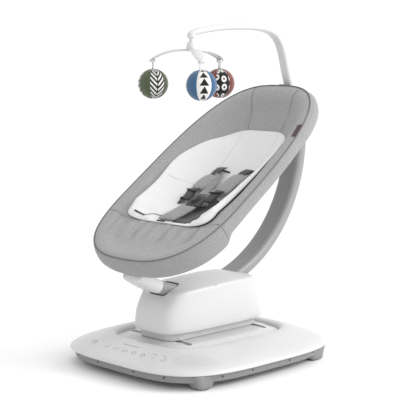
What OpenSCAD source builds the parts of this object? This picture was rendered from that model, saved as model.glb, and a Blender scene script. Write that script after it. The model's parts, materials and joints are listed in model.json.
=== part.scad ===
// Infant seat that glides side to side and up and down on a powered base.
// Frame: +Z up, origin on the floor at the centre of the base, -Y is the foot end and
// +Y the head end. Each module is one separate piece of the assembly.

/* [Base] */
// Width of the base, side to side
base_w = 482; // [474:1:490]
// Length of the base, front to back
base_l = 534; // [526:1:542]
// Squareness of the base outline
base_square = 3.6; // [3.2:0.1:4]
// Height of the lower rim of the top cover
rim_low = 34; // [32:0.5:36]
// Rise of the dome above that rim
dome_rise = 38; // [36:0.5:40]
// Half width of the well around the tower
well_hw = 135; // [132:1:137]
// Half length of the well
well_hl = 173; // [170:1:175]
// Thickness of the moulded shells
shell_t = 3; // [2.5:0.1:3]

/* [Glide] */
// Sideways travel of the carriage each way
glide = 38; // [20:1:38]
// Upward travel of the tower
lift = 38; // [20:1:38]
// Distance of each slide rail from the middle
rail_y = 120; // [119:0.5:121]
// Radius of the slide rails
rail_r = 5; // [4:0.5:5]
// Radius of the toothed belt's pulleys
pulley_r = 9; // [8:0.5:9]
// Distance of each pulley from the middle
pulley_x = 120; // [116:1:124]
// Lead of the lift screw for one turn
screw_lead = 8; // [4:1:10]
// Running clearance on a radius
run = 0.05; // [0.02:0.01:0.09]

/* [Tower] */
// Half width of the tower cover at its foot
tower_hw = 74; // [73:0.5:75]
// Half length of the tower cover at its foot
tower_hl = 159; // [157:1:160]
// Height of the cover's lower edge
tower_z = 88; // [87:0.5:89]
// Height of the cover's top
tower_top = 201; // [201:0.5:202]

/* [Arc tube] */
// Radius of the tube's centre line
arc_r = 340; // [339:0.5:341]
// Height of the centre that the seat reclines about
arc_z = 503.4; // [503:0.1:504]
// Distance of that centre in front of the origin
arc_y = 9.5; // [9:0.5:10]
// Width of the tube
arc_w = 60; // [56:1:60]
// Thickness of the tube
arc_t = 30; // [28:1:30]

/* [Seat] */
// Slope of the seat's rim
seat_tilt = 35.7; // [35.5:0.1:36]
// Half width of the seat's rim
seat_hw = 188; // [186:1:189]
// Length of the rim from its widest place to the foot
seat_foot = 227; // [225:1:228]
// Length of the rim from its widest place to the head
seat_head = 397; // [395:1:398]
// Depth of the padded side band
band_depth = 38; // [36:1:39]
// Depth of the seat's hollow
seat_depth = 104; // [98:1:106]

/* [Mobile] */
// Distance of the balls from the mobile's axis
ball_orbit = 90; // [80:1:92]
// Radius of each ball
ball_r = 34.5; // [32:0.5:35]
// Height of the mobile's hanging pins
hang_z = 684; // [682:1:690]
// Height of the balls' centres
ball_z = 634; // [632:1:638]
// Width of the mobile's arm
arm_w = 26; // [24:1:28]

/* [Hidden] */
$fn = 48;
seg = 72;            // points round each lofted outline
rail_z = 33;         // height of the rails and of the belt's pulleys
deck_z = 60;         // height of the deck's outer edge
foot_x = 192;        // place of the feet
foot_y = 180;
slot_hx = 99;        // half length of the deck's two slots
post_hx = 53;        // half length of the posts that pass through them
head_z = 74;         // underside of the carriage's upper plate
column_x = 43;
column_y = 60;
column_r = 6;
axle_r = 3;
lower_roller_r = 9;
upper_roller_r = 6;
roller_gap = 0.3;
lower_angle = 14;    // place of the lower rollers round the arc
upper_angle = 7;
knob_z = 152;
knob_x = -20;
tube_front = -34.5;  // ends and joint of the arc tube, degrees round the arc
tube_joint = -22.5;
tube_rear = 107.5;
seat_mid = -85;      // widest place of the rim, along the seat
seat_y = 21.5;       // rim's reference point
seat_z = 442;
frame_in = 7;        // ring frame's section, in from the rim
frame_w = 16;
hub_y = -23;         // the mobile's turning axis and its spider's top
hub_z = 736.7;
blade_end = 99;       // reach and thickness of the spider's blades
blade_t = 3.6;
button_travel = 2.5;
white = [0.93, 0.93, 0.93];
grey = [0.62, 0.62, 0.63];

// ---- shared shapes ----

function spow(v, p) = sign(v) * pow(abs(v), p);

// closed outline whose sides bulge and whose corners are round
function squircle(a, b, e) = [for (i = [0:seg - 1]) let (t = 360 * i / seg)
    [a * spow(cos(t), 2 / e), b * spow(sin(t), 2 / e)]];

function level(a, b, e, z) = [for (p = squircle(a, b, e)) [p[0], p[1], z]];

function side_faces(i, k) = [for (j = [0:seg - 1]) let (n = (j + 1) % seg)
    each [[i * seg + j, k * seg + j, k * seg + n], [i * seg + j, k * seg + n, i * seg + n]]];

// solid between rings that close on themselves, like a frame round a hole
module frame_skin(rings) {
    m = len(rings);
    polyhedron([for (r = rings) each r], [for (i = [0:m - 1]) each side_faces(i, (i + 1) % m)], 4);
}

// solid through rings from its lowest point to its last point
module pod_skin(rings, first, last) {
    m = len(rings);
    a = m * seg;
    polyhedron(concat([for (r = rings) each r], [first, last]),
        concat([for (i = [0:m - 2]) each side_faces(i, i + 1)],
            [for (j = [0:seg - 1]) [a, j, (j + 1) % seg]],
            [for (j = [0:seg - 1]) [a + 1, (m - 1) * seg + (j + 1) % seg, (m - 1) * seg + j]]), 4);
}

module rounded_plate(hx, hy, r, h) {
    linear_extrude(h) union() {
        square([2 * (hx - r), 2 * hy], center = true);
        square([2 * hx, 2 * (hy - r)], center = true);
        for (sx = [-1, 1], sy = [-1, 1]) translate([sx * (hx - r), sy * (hy - r)]) circle(r);
    }
}

module rod_x(r, length) rotate([0, 90, 0]) cylinder(r = r, h = length, center = true);

module rod_y(r, length) rotate([-90, 0, 0]) cylinder(r = r, h = length);

// puts a radius-height profile round the recline axis, from one angle to another
module round_arc(from, to) {
    translate([0, -arc_y, arc_z]) rotate([0, 90, 0]) rotate([0, 0, from])
        rotate_extrude(angle = to - from, $fn = 360) children();
}

module bar_profile(t, w, r) {
    translate([arc_r, 0]) union() {
        square([t - 2 * r, w], center = true);
        square([t, w - 2 * r], center = true);
        for (sx = [-1, 1], sy = [-1, 1]) translate([sx * (t / 2 - r), sy * (w / 2 - r)]) circle(r);
    }
}

// moves a piece to a place on the arc, with its own Y along the tube
module on_arc(angle, r) {
    translate([0, -arc_y, arc_z]) rotate([angle, 0, 0]) translate([0, 0, -r]) children();
}

// the seat's own frame: X across, Y from foot to head along the rim, Z out of the seat
module in_seat() translate([0, seat_y, seat_z]) rotate([seat_tilt, 0, 0]) children();

// ---- seat outline and hollow ----

function seat_half(s) = s < 0 ? seat_foot : seat_head;
function seat_exp(s) = s < 0 ? 2.75 : 3;
function seat_ring(inset, scale = 1) = [for (i = [0:seg - 1])
    let (t = 360 * i / seg, s = sin(t), e = seat_exp(s))
    [scale * (seat_hw - inset) * spow(cos(t), 2 / e),
     seat_mid + scale * (seat_half(s) - inset) * spow(s, 2 / e)]];

// half width of the seat at a place along it
function seat_half_width(y) = let (s = y - seat_mid, e = seat_exp(s))
    seat_hw * pow(max(0.0001, 1 - pow(abs(s) / seat_half(s), e)), 1 / e);

// depth of the hollow along the seat's middle, as a share of its greatest depth
hollow = [[-286, 0.02], [-230, 0.08], [-170, 0.24], [-130, 0.42], [-90, 0.56], [-50, 0.68],
    [0, 0.79], [64, 0.86], [110, 0.83], [150, 0.74], [200, 0.58], [250, 0.3], [286, 0.03]];
function sling_n(x, y) = -2 - seat_depth * lookup(y, hollow)
    * (1 - pow(min(1, abs(x) / (0.87 * seat_half_width(y))), 1.8));

module rim_slice(inset, low, high) {
    translate([0, 0, low]) linear_extrude(high - low) polygon(seat_ring(inset));
}

module rim_frame(from, to, low, high) {
    difference() {
        rim_slice(from, low, high);
        rim_slice(to, low - 1, high + 1);
    }
}

// ---- base ----

module base_cover() {
    hw = base_w / 2;
    hl = base_l / 2;
    sq = base_square;
    low = rim_low;
    rise = dome_rise;
    color(white) difference() {
        union() {
            frame_skin([level(hw - 2, hl - 2, sq, low), level(hw, hl, sq, low + 7),
                level(hw - 1, hl - 1, sq, low + 12.5), level(hw - 7, hl - 7, sq, low + 16),
                level(hw - 41, hl - 39, sq, low + rise * 0.6), level(hw - 76, hl - 69, 3.9, low + rise * 0.8),
                level(hw - 96, hl - 85, 4.3, low + rise * 0.96), level(well_hw + 3, well_hl + 3, 4.8, low + rise),
                level(well_hw, well_hl, 4.8, low + rise - 2), level(well_hw, well_hl, 4.8, low + rise - 15),
                level(well_hw + shell_t, well_hl + shell_t, 4.8, low + rise - 15),
                level(well_hw + 5, well_hl + 5, 4.7, low + rise - 5),
                level(hw - 78, hl - 71, 3.9, low + rise * 0.8 - shell_t),
                level(hw - 42, hl - 40, sq, low + rise * 0.6 - shell_t),
                level(hw - 9, hl - 9, sq, low + 13), level(hw - 4, hl - 4, sq, low + 7),
                level(hw - 5, hl - 5, sq, low)]);
            for (sx = [-1, 1], sy = [-1, 1]) translate([sx * 185, sy * 130, 18]) cylinder(r = 5, h = 36);
        }
        for (sx = [-1, 1], sy = [-1, 1]) translate([sx * 185, sy * 130, 17]) cylinder(r = 2.05, h = 30);
    }
}

module recess_deck() {
    e = 4.8;
    a = well_hw - 1;
    b = well_hl - 1;
    color(white) difference() {
        pod_skin([level(a * 0.5, b * 0.5, e, deck_z - 1), level(a - 4, b - 4, e, deck_z - 4),
            level(a, b, e, deck_z - 3), level(a, b, e, deck_z), level(a * 0.75, b * 0.75, e, deck_z + 4.5),
            level(a * 0.4, b * 0.4, e, deck_z + 6.5)], [0, 0, deck_z - 1], [0, 0, deck_z + 7]);
        for (sy = [-1, 1]) translate([0, sy * rail_y, deck_z - 10]) rounded_plate(slot_hx, 7, 6.9, 30);
    }
}

module base_tray() {
    e = base_square;
    color(grey) difference() {
        translate([0, 0, 14]) linear_extrude(29) polygon(squircle(base_w / 2 - 12, base_l / 2 - 12, e));
        translate([0, 0, 17]) linear_extrude(40)
            polygon(squircle(base_w / 2 - 12 - shell_t, base_l / 2 - 12 - shell_t, e));
        for (sx = [-1, 1], sy = [-1, 1]) translate([sx * 185, sy * 130, 10]) cylinder(r = 2.2, h = 20);
        translate([0, base_l / 2 - 30, 25]) rod_y(7, 40);
    }
}

module corner_feet() {
    color(grey) difference() {
        for (sx = [-1, 1], sy = [-1, 1]) hull() {
            translate([sx * 183, sy * 177, rim_low - 1]) rounded_plate(31, 31, 16, 1);
            translate([sx * foot_x, sy * foot_y, 2.5]) rounded_plate(19, 19, 9, 1);
        }
        translate([0, 0, 14]) linear_extrude(29)
            polygon(squircle(base_w / 2 - 12, base_l / 2 - 12, base_square));
    }
}

module foot_pads() {
    color([0.3, 0.3, 0.3]) for (sx = [-1, 1], sy = [-1, 1])
        translate([sx * foot_x, sy * foot_y, 0]) cylinder(r = 16, h = 2.5);
}

module base_screws() {
    color("silver") for (sx = [-1, 1], sy = [-1, 1]) translate([sx * 185, sy * 130, 0]) union() {
        translate([0, 0, 11]) cylinder(r = 4, h = 3);
        translate([0, 0, 13.5]) cylinder(r = 2, h = 30);
    }
}

module slide_rails() {
    color("silver") for (sy = [-1, 1]) translate([0, sy * rail_y, rail_z]) rod_x(rail_r, 310);
}

module rail_blocks() {
    color("dimgray") for (sx = [-1, 1], sy = [-1, 1])
        translate([sx * 142, sy * rail_y, 17]) difference() {
            translate([-10, -12, 0]) cube([20, 24, 28]);
            translate([0, 0, rail_z - 17]) rod_x(rail_r, 40);
        }
}

module drive_motor() {
    color("dimgray") translate([-pulley_x, 0, rail_z]) union() {
        translate([0, 10, 0]) rod_y(14, 58);
        translate([-15, 8, -16]) cube([30, 4, 32]);
        translate([0, -9, 0]) rod_y(axle_r, 22);
    }
}

module idler_post() {
    color("dimgray") translate([pulley_x, 0, rail_z]) union() {
        translate([0, -9, 0]) rod_y(axle_r, 22);
        translate([-9, 9, -16]) cube([18, 8, 26]);
    }
}

module pulley() {
    translate([0, -6, 0]) difference() {
        union() {
            rod_y(pulley_r, 12);
            rod_y(pulley_r + 2.5, 1.2);
            translate([0, 10.8, 0]) rod_y(pulley_r + 2.5, 1.2);
        }
        translate([0, -1, 0]) rod_y(axle_r + run, 16);
    }
}

module drive_pulley() {
    color("gainsboro") translate([-pulley_x, 0, rail_z]) pulley();
}

module idler_pulley() {
    color("gainsboro") translate([pulley_x, 0, rail_z]) pulley();
}

module stadium(r, h) {
    rotate([-90, 0, 0]) linear_extrude(h) union() {
        square([2 * pulley_x, 2 * r], center = true);
        for (s = [-1, 1]) translate([s * pulley_x, 0]) circle(r);
    }
}

module drive_belt() {
    color("black") translate([0, -4, rail_z]) difference() {
        stadium(pulley_r + 1.8, 8);
        translate([0, -1, 0]) stadium(pulley_r + 0.3, 10);
    }
}

module main_board() {
    color("darkgreen") translate([-60, 205, 22]) union() {
        translate([-50, -25, 0]) cube([100, 50, 1.6]);
        translate([-30, -12, 1.6]) cube([26, 22, 8]);
        translate([8, -14, 1.6]) cube([14, 14, 2]);
        for (x = [28, 38]) translate([x, 6, 1.6]) cylinder(r = 4, h = 12);
        for (sx = [-1, 1], sy = [-1, 1]) translate([sx * 45, sy * 20, -5]) cylinder(r = 2.5, h = 5);
    }
}

module control_board() {
    color("darkgreen") translate([0, -224, 30]) union() {
        translate([-125, -14, 8]) cube([250, 28, 1.6]);
        for (sx = [-1, 1]) translate([sx * 118, 0, -13]) cylinder(r = 3, h = 21);
    }
}

module speaker_driver() {
    color("dimgray") translate([158, -168, 17]) union() {
        cylinder(r = 14, h = 10);
        translate([0, 0, 10]) cylinder(r1 = 16, r2 = 25, h = 10);
        translate([0, 0, 20]) cylinder(r = 28, h = 2);
    }
}

module power_inlet() {
    color("black") translate([0, base_l / 2 - 15, 25]) difference() {
        union() {
            translate([-6, -14, -8]) cube([12, 12, 14]);
            translate([0, -2, 0]) rod_y(6.5, 5);
        }
        translate([0, -7, 0]) rod_y(2.8, 12);
    }
}

// ---- carriage that glides sideways ----

module carriage_plate() {
    color("gray") union() {
        translate([0, 0, 46]) rounded_plate(54, 135, 8, 5);
        for (sx = [-1, 1], sy = [-1, 1]) translate([sx * 40, sy * rail_y, 44]) rounded_plate(11, 9, 3, 3);
    }
}

module rail_bushes() {
    color("ivory") for (sx = [-1, 1], sy = [-1, 1])
        translate([sx * 40, sy * rail_y, rail_z]) difference() {
            union() {
                rod_x(9, 22);
                translate([-11, -7, 0]) cube([22, 14, 11]);
            }
            rod_x(rail_r + run, 30);
        }
}

module carriage_head() {
    color("gray") union() {
        translate([0, 0, head_z]) rounded_plate(56, 139.5, 27.5, 5);
        for (sy = [-1, 1]) translate([0, sy * rail_y, 51]) rounded_plate(post_hx, 5, 4, head_z - 51);
    }
}

module belt_clamp() {
    top = rail_z + pulley_r + 2.1;
    color("gray") union() {
        translate([-14, -9, top]) cube([28, 18, 46 - top]);
        translate([-14, -9, top - 6]) cube([28, 4.6, 7]);
        translate([-14, -9, top - 6]) cube([28, 18, 3]);
    }
}

module neck_cover() {
    color(white) translate([0, 0, head_z - 4]) difference() {
        rounded_plate(58.5, 142, 30, 58);
        translate([0, 0, -1]) rounded_plate(56, 139.5, 27.5, 60);
    }
}

module guide_columns() {
    color("silver") for (s = [-1, 1]) translate([s * column_x, -s * column_y, head_z + 5])
        cylinder(r = column_r, h = 91);
}

module lift_motor() {
    color("dimgray") translate([-42, -column_y, head_z + 5]) cylinder(r = 12, h = 32);
}

module lift_screw() {
    color("silver") translate([-42, -column_y, head_z + 37.3]) union() {
        cylinder(r = 6, h = 2);
        cylinder(r = 4, h = 56);
    }
}

// ---- tower that rises and falls ----

function tower_level(w, l, z) = level(w, l, 3.6, z);

module tower_cover() {
    w = tower_hw;
    l = tower_hl;
    low = tower_z;
    top = tower_top;
    t = shell_t;
    color(white) difference() {
        pod_skin([
            tower_level(30, 60, top - 2 - t), tower_level(w - 30, l - 74, top - 8 - t),
            tower_level(w - 18, l - 51, top - 15 - t), tower_level(w - 10 - t, l - 34 - t, top - 22 - t),
            tower_level(w - 4 - t, l - 18 - t, top - 38), tower_level(w - 1 - t, l - 8 - t, top - 56),
            tower_level(w - t, l - 2 - t, top - 78), tower_level(w - 1 - t, l - 1 - t, low),
            tower_level(w - 1, l - 1, low), tower_level(w + 1, l, low + 17),
            tower_level(w + 0.5, l - 2, top - 76), tower_level(w - 1, l - 8, top - 54),
            tower_level(w - 4, l - 18, top - 36), tower_level(w - 9, l - 32, top - 23),
            tower_level(w - 18, l - 51, top - 13), tower_level(w - 36, l - 84, top - 5),
            tower_level(12, 30, top - 1)], [0, 0, top - 2 - t], [0, 0, top]);
        round_arc(-34, 38) bar_profile(arc_t + 8, arc_w + 6, 3);
        translate([knob_x, tower_hl - 40, knob_z]) rod_y(5, 60);
    }
}

module tower_frame() {
    color("gray") difference() {
        union() {
            translate([0, 0, 134]) rounded_plate(64, 132, 48, 5);
            for (s = [-1, 1]) translate([s * column_x, -s * column_y, 96]) cylinder(r = 9, h = 38.5);
            translate([knob_x - 10, 120, 138]) cube([20, 8, 24]);
        }
        for (s = [-1, 1]) translate([s * column_x, -s * column_y, 90])
            cylinder(r = column_r + run, h = 60);
        translate([-42, -column_y, 110]) cylinder(r = 8.5, h = 40);
        translate([knob_x, 110, knob_z]) rod_y(4 + run, 30);
    }
}

module lift_nut() {
    color("goldenrod") translate([-42, -column_y, 116]) difference() {
        union() {
            cylinder(r = 8.4, h = 22.8);
            translate([0, 0, 14]) cylinder(r = 11, h = 4);
        }
        translate([0, 0, -1]) cylinder(r = 4 + run, h = 30);
    }
}

module saddle_plates() {
    color("gray") difference() {
        for (sx = [-1, 1]) translate([sx * 33.5 - 1.5, 0, 139]) rotate([90, 0, 90])
            linear_extrude(3) polygon([[-98, 0], [98, 0], [98, 20], [60, 40], [52, 51], [-64, 51],
                [-74, 40], [-98, 20]]);
        for (s = [-1, 1]) {
            on_arc(s * lower_angle, arc_r + arc_t / 2 + roller_gap + lower_roller_r) rod_x(axle_r, 80);
            on_arc(s * upper_angle, arc_r - arc_t / 2 - roller_gap - upper_roller_r) rod_x(axle_r, 80);
        }
    }
}

module roller_axles() {
    color("silver") for (s = [-1, 1]) {
        on_arc(s * lower_angle, arc_r + arc_t / 2 + roller_gap + lower_roller_r) rod_x(axle_r, 72);
        on_arc(s * upper_angle, arc_r - arc_t / 2 - roller_gap - upper_roller_r) rod_x(axle_r, 72);
    }
}

module roller(r, length) {
    difference() {
        rod_x(r, length);
        rod_x(axle_r + run, length + 4);
    }
}

module lower_roller(side) {
    color("ivory") on_arc(side * lower_angle, arc_r + arc_t / 2 + roller_gap + lower_roller_r)
        roller(lower_roller_r, 56);
}

module upper_roller(side) {
    color("ivory") on_arc(side * upper_angle, arc_r - arc_t / 2 - roller_gap - upper_roller_r)
        roller(upper_roller_r, 24);
}

module lower_roller_front() lower_roller(-1);

module lower_roller_rear() lower_roller(1);

module upper_roller_front() upper_roller(-1);

module upper_roller_rear() upper_roller(1);

module recline_knob() {
    color("gray") translate([knob_x, 0, knob_z]) union() {
        translate([0, 112, 0]) rod_y(4, 50);
        translate([0, 156, 0]) rod_y(17, 16);
        for (a = [0:60:300]) rotate([0, a, 0]) translate([14, 156, 0]) rod_y(6, 16);
    }
}

module brake_shoe() {
    color("black") difference() {
        translate([-22, 96, 144]) cube([44, 14, 26]);
        round_arc(0, 38) bar_profile(arc_t + 0.8, arc_w + 6, 3);
    }
}

// ---- arc tube and seat frame ----

module arc_tube(from, to) {
    round_arc(from, to) difference() {
        bar_profile(arc_t, arc_w, 13);
        bar_profile(arc_t - 4, arc_w - 4, 11);
    }
}

module arc_tube_front() {
    color("gainsboro") arc_tube(tube_front, tube_joint);
}

module arc_tube_rear() {
    color("gainsboro") arc_tube(tube_joint, tube_rear);
}

module tube_coupler() {
    color("gray") round_arc(tube_joint - 6, tube_joint + 6) difference() {
        bar_profile(arc_t - 4, arc_w - 4, 11);
        bar_profile(arc_t - 9, arc_w - 9, 9);
    }
}

module foot_bracket() {
    lug_y = seat_mid - seat_foot + frame_in;
    color("gray") difference() {
        in_seat() translate([-18, lug_y + 1, -49]) cube([36, frame_w - 2, 49 - frame_in - frame_w - 2]);
        round_arc(tube_front, tube_front + 20) bar_profile(arc_t, arc_w, 13);
    }
}

module head_bracket() {
    head_y = seat_mid + seat_head - frame_in;
    color("gray") difference() {
        in_seat() translate([-18, head_y, -frame_in - frame_w]) cube([36, 40, frame_w]);
        round_arc(90, tube_rear + 20) translate([arc_r + 30 - arc_t / 2, 0]) square([60, 100], center = true);
    }
}

module ring_frame() {
    rim_frame(frame_in, frame_in + frame_w, -frame_in - frame_w - 2, -frame_in - 2);
}

module ring_frame_foot() {
    color("silver") in_seat() intersection() {
        ring_frame();
        translate([-300, -500, -100]) cube([600, 500 + seat_mid, 200]);
    }
}

module ring_frame_head() {
    color("silver") in_seat() intersection() {
        ring_frame();
        translate([-300, seat_mid, -100]) cube([600, 600, 200]);
    }
}

module ring_couplers() {
    color("black") in_seat() difference() {
        for (sx = [-1, 1]) translate([sx * (seat_hw - frame_in - frame_w / 2) - 9, seat_mid - 18,
            -frame_in - frame_w - 3]) cube([18, 36, 18]);
        ring_frame();
    }
}

// ---- soft parts ----

module side_band() {
    color([0.68, 0.68, 0.68]) in_seat() difference() {
        rim_frame(0, 26, -band_depth, 0);
        rim_frame(5, 24.8, -band_depth - 1, -frame_in - 0.7);
        translate([-22, 280, -frame_in - frame_w - 3]) cube([44, 60, frame_w + 3.5]);
        translate([-20, -330, -band_depth - 5]) cube([40, 60, 12]);
    }
}

function sling_ring(s, drop) = [for (p = seat_ring(26.3, s)) [p[0], p[1], sling_n(p[0], p[1]) - drop]];

module seat_sling() {
    steps = [0.12, 0.3, 0.48, 0.62, 0.74, 0.84, 0.92, 1];
    m = len(steps);
    mid = sling_n(0, seat_mid);
    color([0.6, 0.6, 0.6]) in_seat() pod_skin(
        concat([for (s = steps) sling_ring(s, 5)], [for (i = [1:m]) sling_ring(steps[m - i], 0)]),
        [0, seat_mid, mid - 5], [0, seat_mid, mid]);
}

// the liner: a rounded pad, wider at the foot, that lies in the hollow
liner_mid = 18;
liner_hl = 186;
function liner_ring(s, rise) = [for (i = [0:seg - 1])
    let (t = 360 * i / seg, y = liner_mid + s * liner_hl * spow(sin(t), 0.6),
         x = s * (126 - 0.08 * (y - liner_mid)) * spow(cos(t), 0.5))
    [x, y, sling_n(x, y) + rise]];

module insert_liner() {
    mid = sling_n(0, liner_mid);
    color(white) in_seat() pod_skin([liner_ring(0.2, 3.5), liner_ring(0.5, 3.5), liner_ring(0.75, 3.5),
        liner_ring(0.97, 3.5), liner_ring(1, 5), liner_ring(0.97, 8), liner_ring(0.75, 11),
        liner_ring(0.5, 11), liner_ring(0.2, 11)], [0, liner_mid, mid + 3.5], [0, liner_mid, mid + 11]);
}

// a flat piece along the seat between two points [x, along, height]
module strap(a, b, w, t) {
    d = b - a;
    run_len = norm(d);
    translate(a) rotate([0, 0, -atan2(d[0], d[1])]) rotate([asin(d[2] / run_len), 0, 0])
        translate([-w / 2, 0, -t / 2]) cube([w, run_len, t]);
}

module harness_webbing() {
    color([0.15, 0.15, 0.15]) in_seat() for (s = [-1, 1]) {
        strap([s * 42, 62, -58], [s * 42, 96, -60], 24, 2);
        strap([s * 36, -24, -46], [s * 34, -39.4, -43], 24, 2);
        strap([s * 52, -62, -44], [s * 104, -86, -18], 24, 2);
    }
}

module shoulder_pads() {
    color([0.5, 0.5, 0.5]) in_seat() for (s = [-1, 1]) strap([s * 36, -23, -50], [s * 42, 61, -57], 46, 9);
}

module crotch_strap() {
    color([0.4, 0.4, 0.4]) in_seat() strap([0, -93, -41], [0, -156, -19], 40, 7);
}

module buckle_body() {
    color([0.2, 0.2, 0.22]) in_seat() translate([0, -66, -47.4]) difference() {
        rounded_plate(22, 24, 8, 12);
        translate([0, 0, 6]) cylinder(r = 9 + run, h = 10);
    }
}

module buckle_button() {
    color([0.5, 0.5, 0.5]) in_seat() translate([0, -66, -47.4 + 6 + button_travel + 0.2])
        cylinder(r = 9, h = 4.5);
}

module buckle_tongues() {
    color([0.2, 0.2, 0.22]) in_seat() for (s = [-1, 1]) union() {
        translate([s * 35 - 11, -76, -46]) cube([22, 34, 6]);
    }
}

module side_tag() {
    along = 153;
    across = seat_hw * pow(1 - pow((along - seat_mid) / seat_head, 3), 1 / 3);
    color([0.5, 0.35, 0.32]) in_seat() translate([across - 8, along, 1.1]) rotate([0, 0, 11])
        cube([12, 44, 2], center = true);
}

// ---- mobile ----

end_y = -arc_y + arc_r * sin(tube_rear);
end_z = arc_z - arc_r * cos(tube_rear);

function bezier(a, b, c, d, t) = a * pow(1 - t, 3) + 3 * b * t * pow(1 - t, 2)
    + 3 * c * t * t * (1 - t) + d * pow(t, 3);
arm_path = concat(
    [for (i = [0:12]) bezier([end_y, end_z] + 3.4 * [cos(tube_rear), sin(tube_rear)], [272, 700],
        [296, 758], [186, 763], i / 12)],
    [for (i = [1:8]) bezier([186, 763], [120, 766], [30, 762], [hub_y - 6, 745], i / 8)]);
function unit(v) = v / norm(v);
function path_turn(i) = let (m = len(arm_path) - 1)
    unit(arm_path[min(i + 1, m)] - arm_path[max(i - 1, 0)]);
function path_side(s) = [for (i = [0:len(arm_path) - 1]) let (d = path_turn(i))
    arm_path[i] + s * [-d[1], d[0]]];

// puts a piece at the tube's rear end, with its own Y pointing down into the tube
module at_tube_end() translate([0, end_y, end_z]) rotate([tube_rear - 180, 0, 0]) children();

module arm_socket() {
    color("dimgray") difference() {
        union() {
            round_arc(tube_rear - 5.5, tube_rear + 0.1) bar_profile(arc_t - 5, arc_w - 5, 10.5);
            round_arc(tube_rear, tube_rear + 0.3) bar_profile(arc_t, arc_w, 13);
        }
        at_tube_end() translate([0, -3, 0]) rod_y(8 + run, 33);
    }
}

module mobile_arm() {
    last = len(arm_path) - 1;
    color(white) difference() {
        union() {
            translate([-arm_w / 2, 0, 0]) rotate([90, 0, 90]) linear_extrude(arm_w)
                polygon(concat(path_side(7), [for (i = [0:last]) path_side(-7)[last - i]]));
            translate([0, hub_y, 737]) cylinder(r = 11, h = 12);
            at_tube_end() translate([0, -5, 0]) rod_y(8, 32);
        }
        translate([0, hub_y, 730]) cylinder(r = 2.5 + run, h = 17);
    }
}

// one paddle-shaped blade with the two cheeks and the pin that its ball hangs from
module spider_arm() {
    top = [for (i = [0:8]) bezier([4, 713], [45, 714], [76, 706], [blade_end, 687], i / 8)];
    under = [for (p = top) p - [0.5, blade_t]];
    outline = [for (i = [0:8]) bezier([4, 9], [45, 10], [80, 22], [blade_end, 6], i / 8)];
    intersection() {
        rotate([90, 0, 0]) translate([0, 0, -20]) linear_extrude(40)
            polygon(concat(top, [for (i = [0:8]) under[8 - i]]));
        translate([0, 0, 670]) linear_extrude(60)
            polygon(concat(outline, [for (i = [0:8]) [outline[8 - i][0], -outline[8 - i][1]]]));
    }
    translate([ball_orbit, 0, hang_z]) rotate([90, 0, 0]) cylinder(r = 1.5, h = 14, center = true);
    for (s = [-1, 1]) translate([ball_orbit - 3.5, s * 6 - 1, hang_z - 2.5]) cube([7, 2, 9]);
}

module mobile_spider() {
    color(white) translate([0, hub_y, 0]) union() {
        translate([0, 0, 711]) cylinder(r1 = 12, r2 = 9.5, h = 16);
        translate([0, 0, 726]) cylinder(r = 5, h = hub_z - 726);
        translate([0, 0, hub_z - 2]) cylinder(r = 2.5, h = 12);
        for (a = [90, 210, 330]) rotate([0, 0, a]) spider_arm();
    }
}

module hanging_ball(angle) {
    drop = hang_z - ball_z;
    translate([0, hub_y, hang_z]) rotate([0, 0, angle]) translate([ball_orbit, 0, 0]) difference() {
        union() {
            rotate([90, 0, 0]) cylinder(r = 3, h = 8, center = true);
            translate([-1, -4, -drop + ball_r - 3]) cube([2, 8, drop - ball_r + 2]);
            translate([0, 0, -drop]) sphere(ball_r);
        }
        rotate([90, 0, 0]) cylinder(r = 1.5 + run, h = 20, center = true);
    }
}

module ball_green() color([0.33, 0.38, 0.3]) hanging_ball(210);

module ball_blue() color([0.27, 0.41, 0.6]) hanging_ball(330);

module ball_red() color([0.54, 0.3, 0.3]) hanging_ball(90);

base_cover();
recess_deck();
base_tray();
corner_feet();
foot_pads();
base_screws();
slide_rails();
rail_blocks();
drive_motor();
drive_pulley();
idler_pulley();
idler_post();
drive_belt();
main_board();
control_board();
speaker_driver();
power_inlet();
carriage_plate();
rail_bushes();
carriage_head();
belt_clamp();
neck_cover();
guide_columns();
lift_motor();
lift_screw();
tower_cover();
tower_frame();
lift_nut();
saddle_plates();
roller_axles();
lower_roller_front();
lower_roller_rear();
upper_roller_front();
upper_roller_rear();
recline_knob();
brake_shoe();
arc_tube_front();
arc_tube_rear();
tube_coupler();
foot_bracket();
head_bracket();
ring_frame_foot();
ring_frame_head();
ring_couplers();
side_band();
seat_sling();
insert_liner();
harness_webbing();
shoulder_pads();
crotch_strap();
buckle_body();
buckle_button();
buckle_tongues();
side_tag();
arm_socket();
mobile_arm();
mobile_spider();
ball_green();
ball_blue();
ball_red();
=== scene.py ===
"""Looks of the powered infant seat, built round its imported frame.

Shapes are worked out in millimetres. Lights, the camera and the shaders' own scales are in metres.
"""
import json
import math

import bmesh
import bpy
import numpy as np
from mathutils import Matrix, Vector, noise

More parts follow.
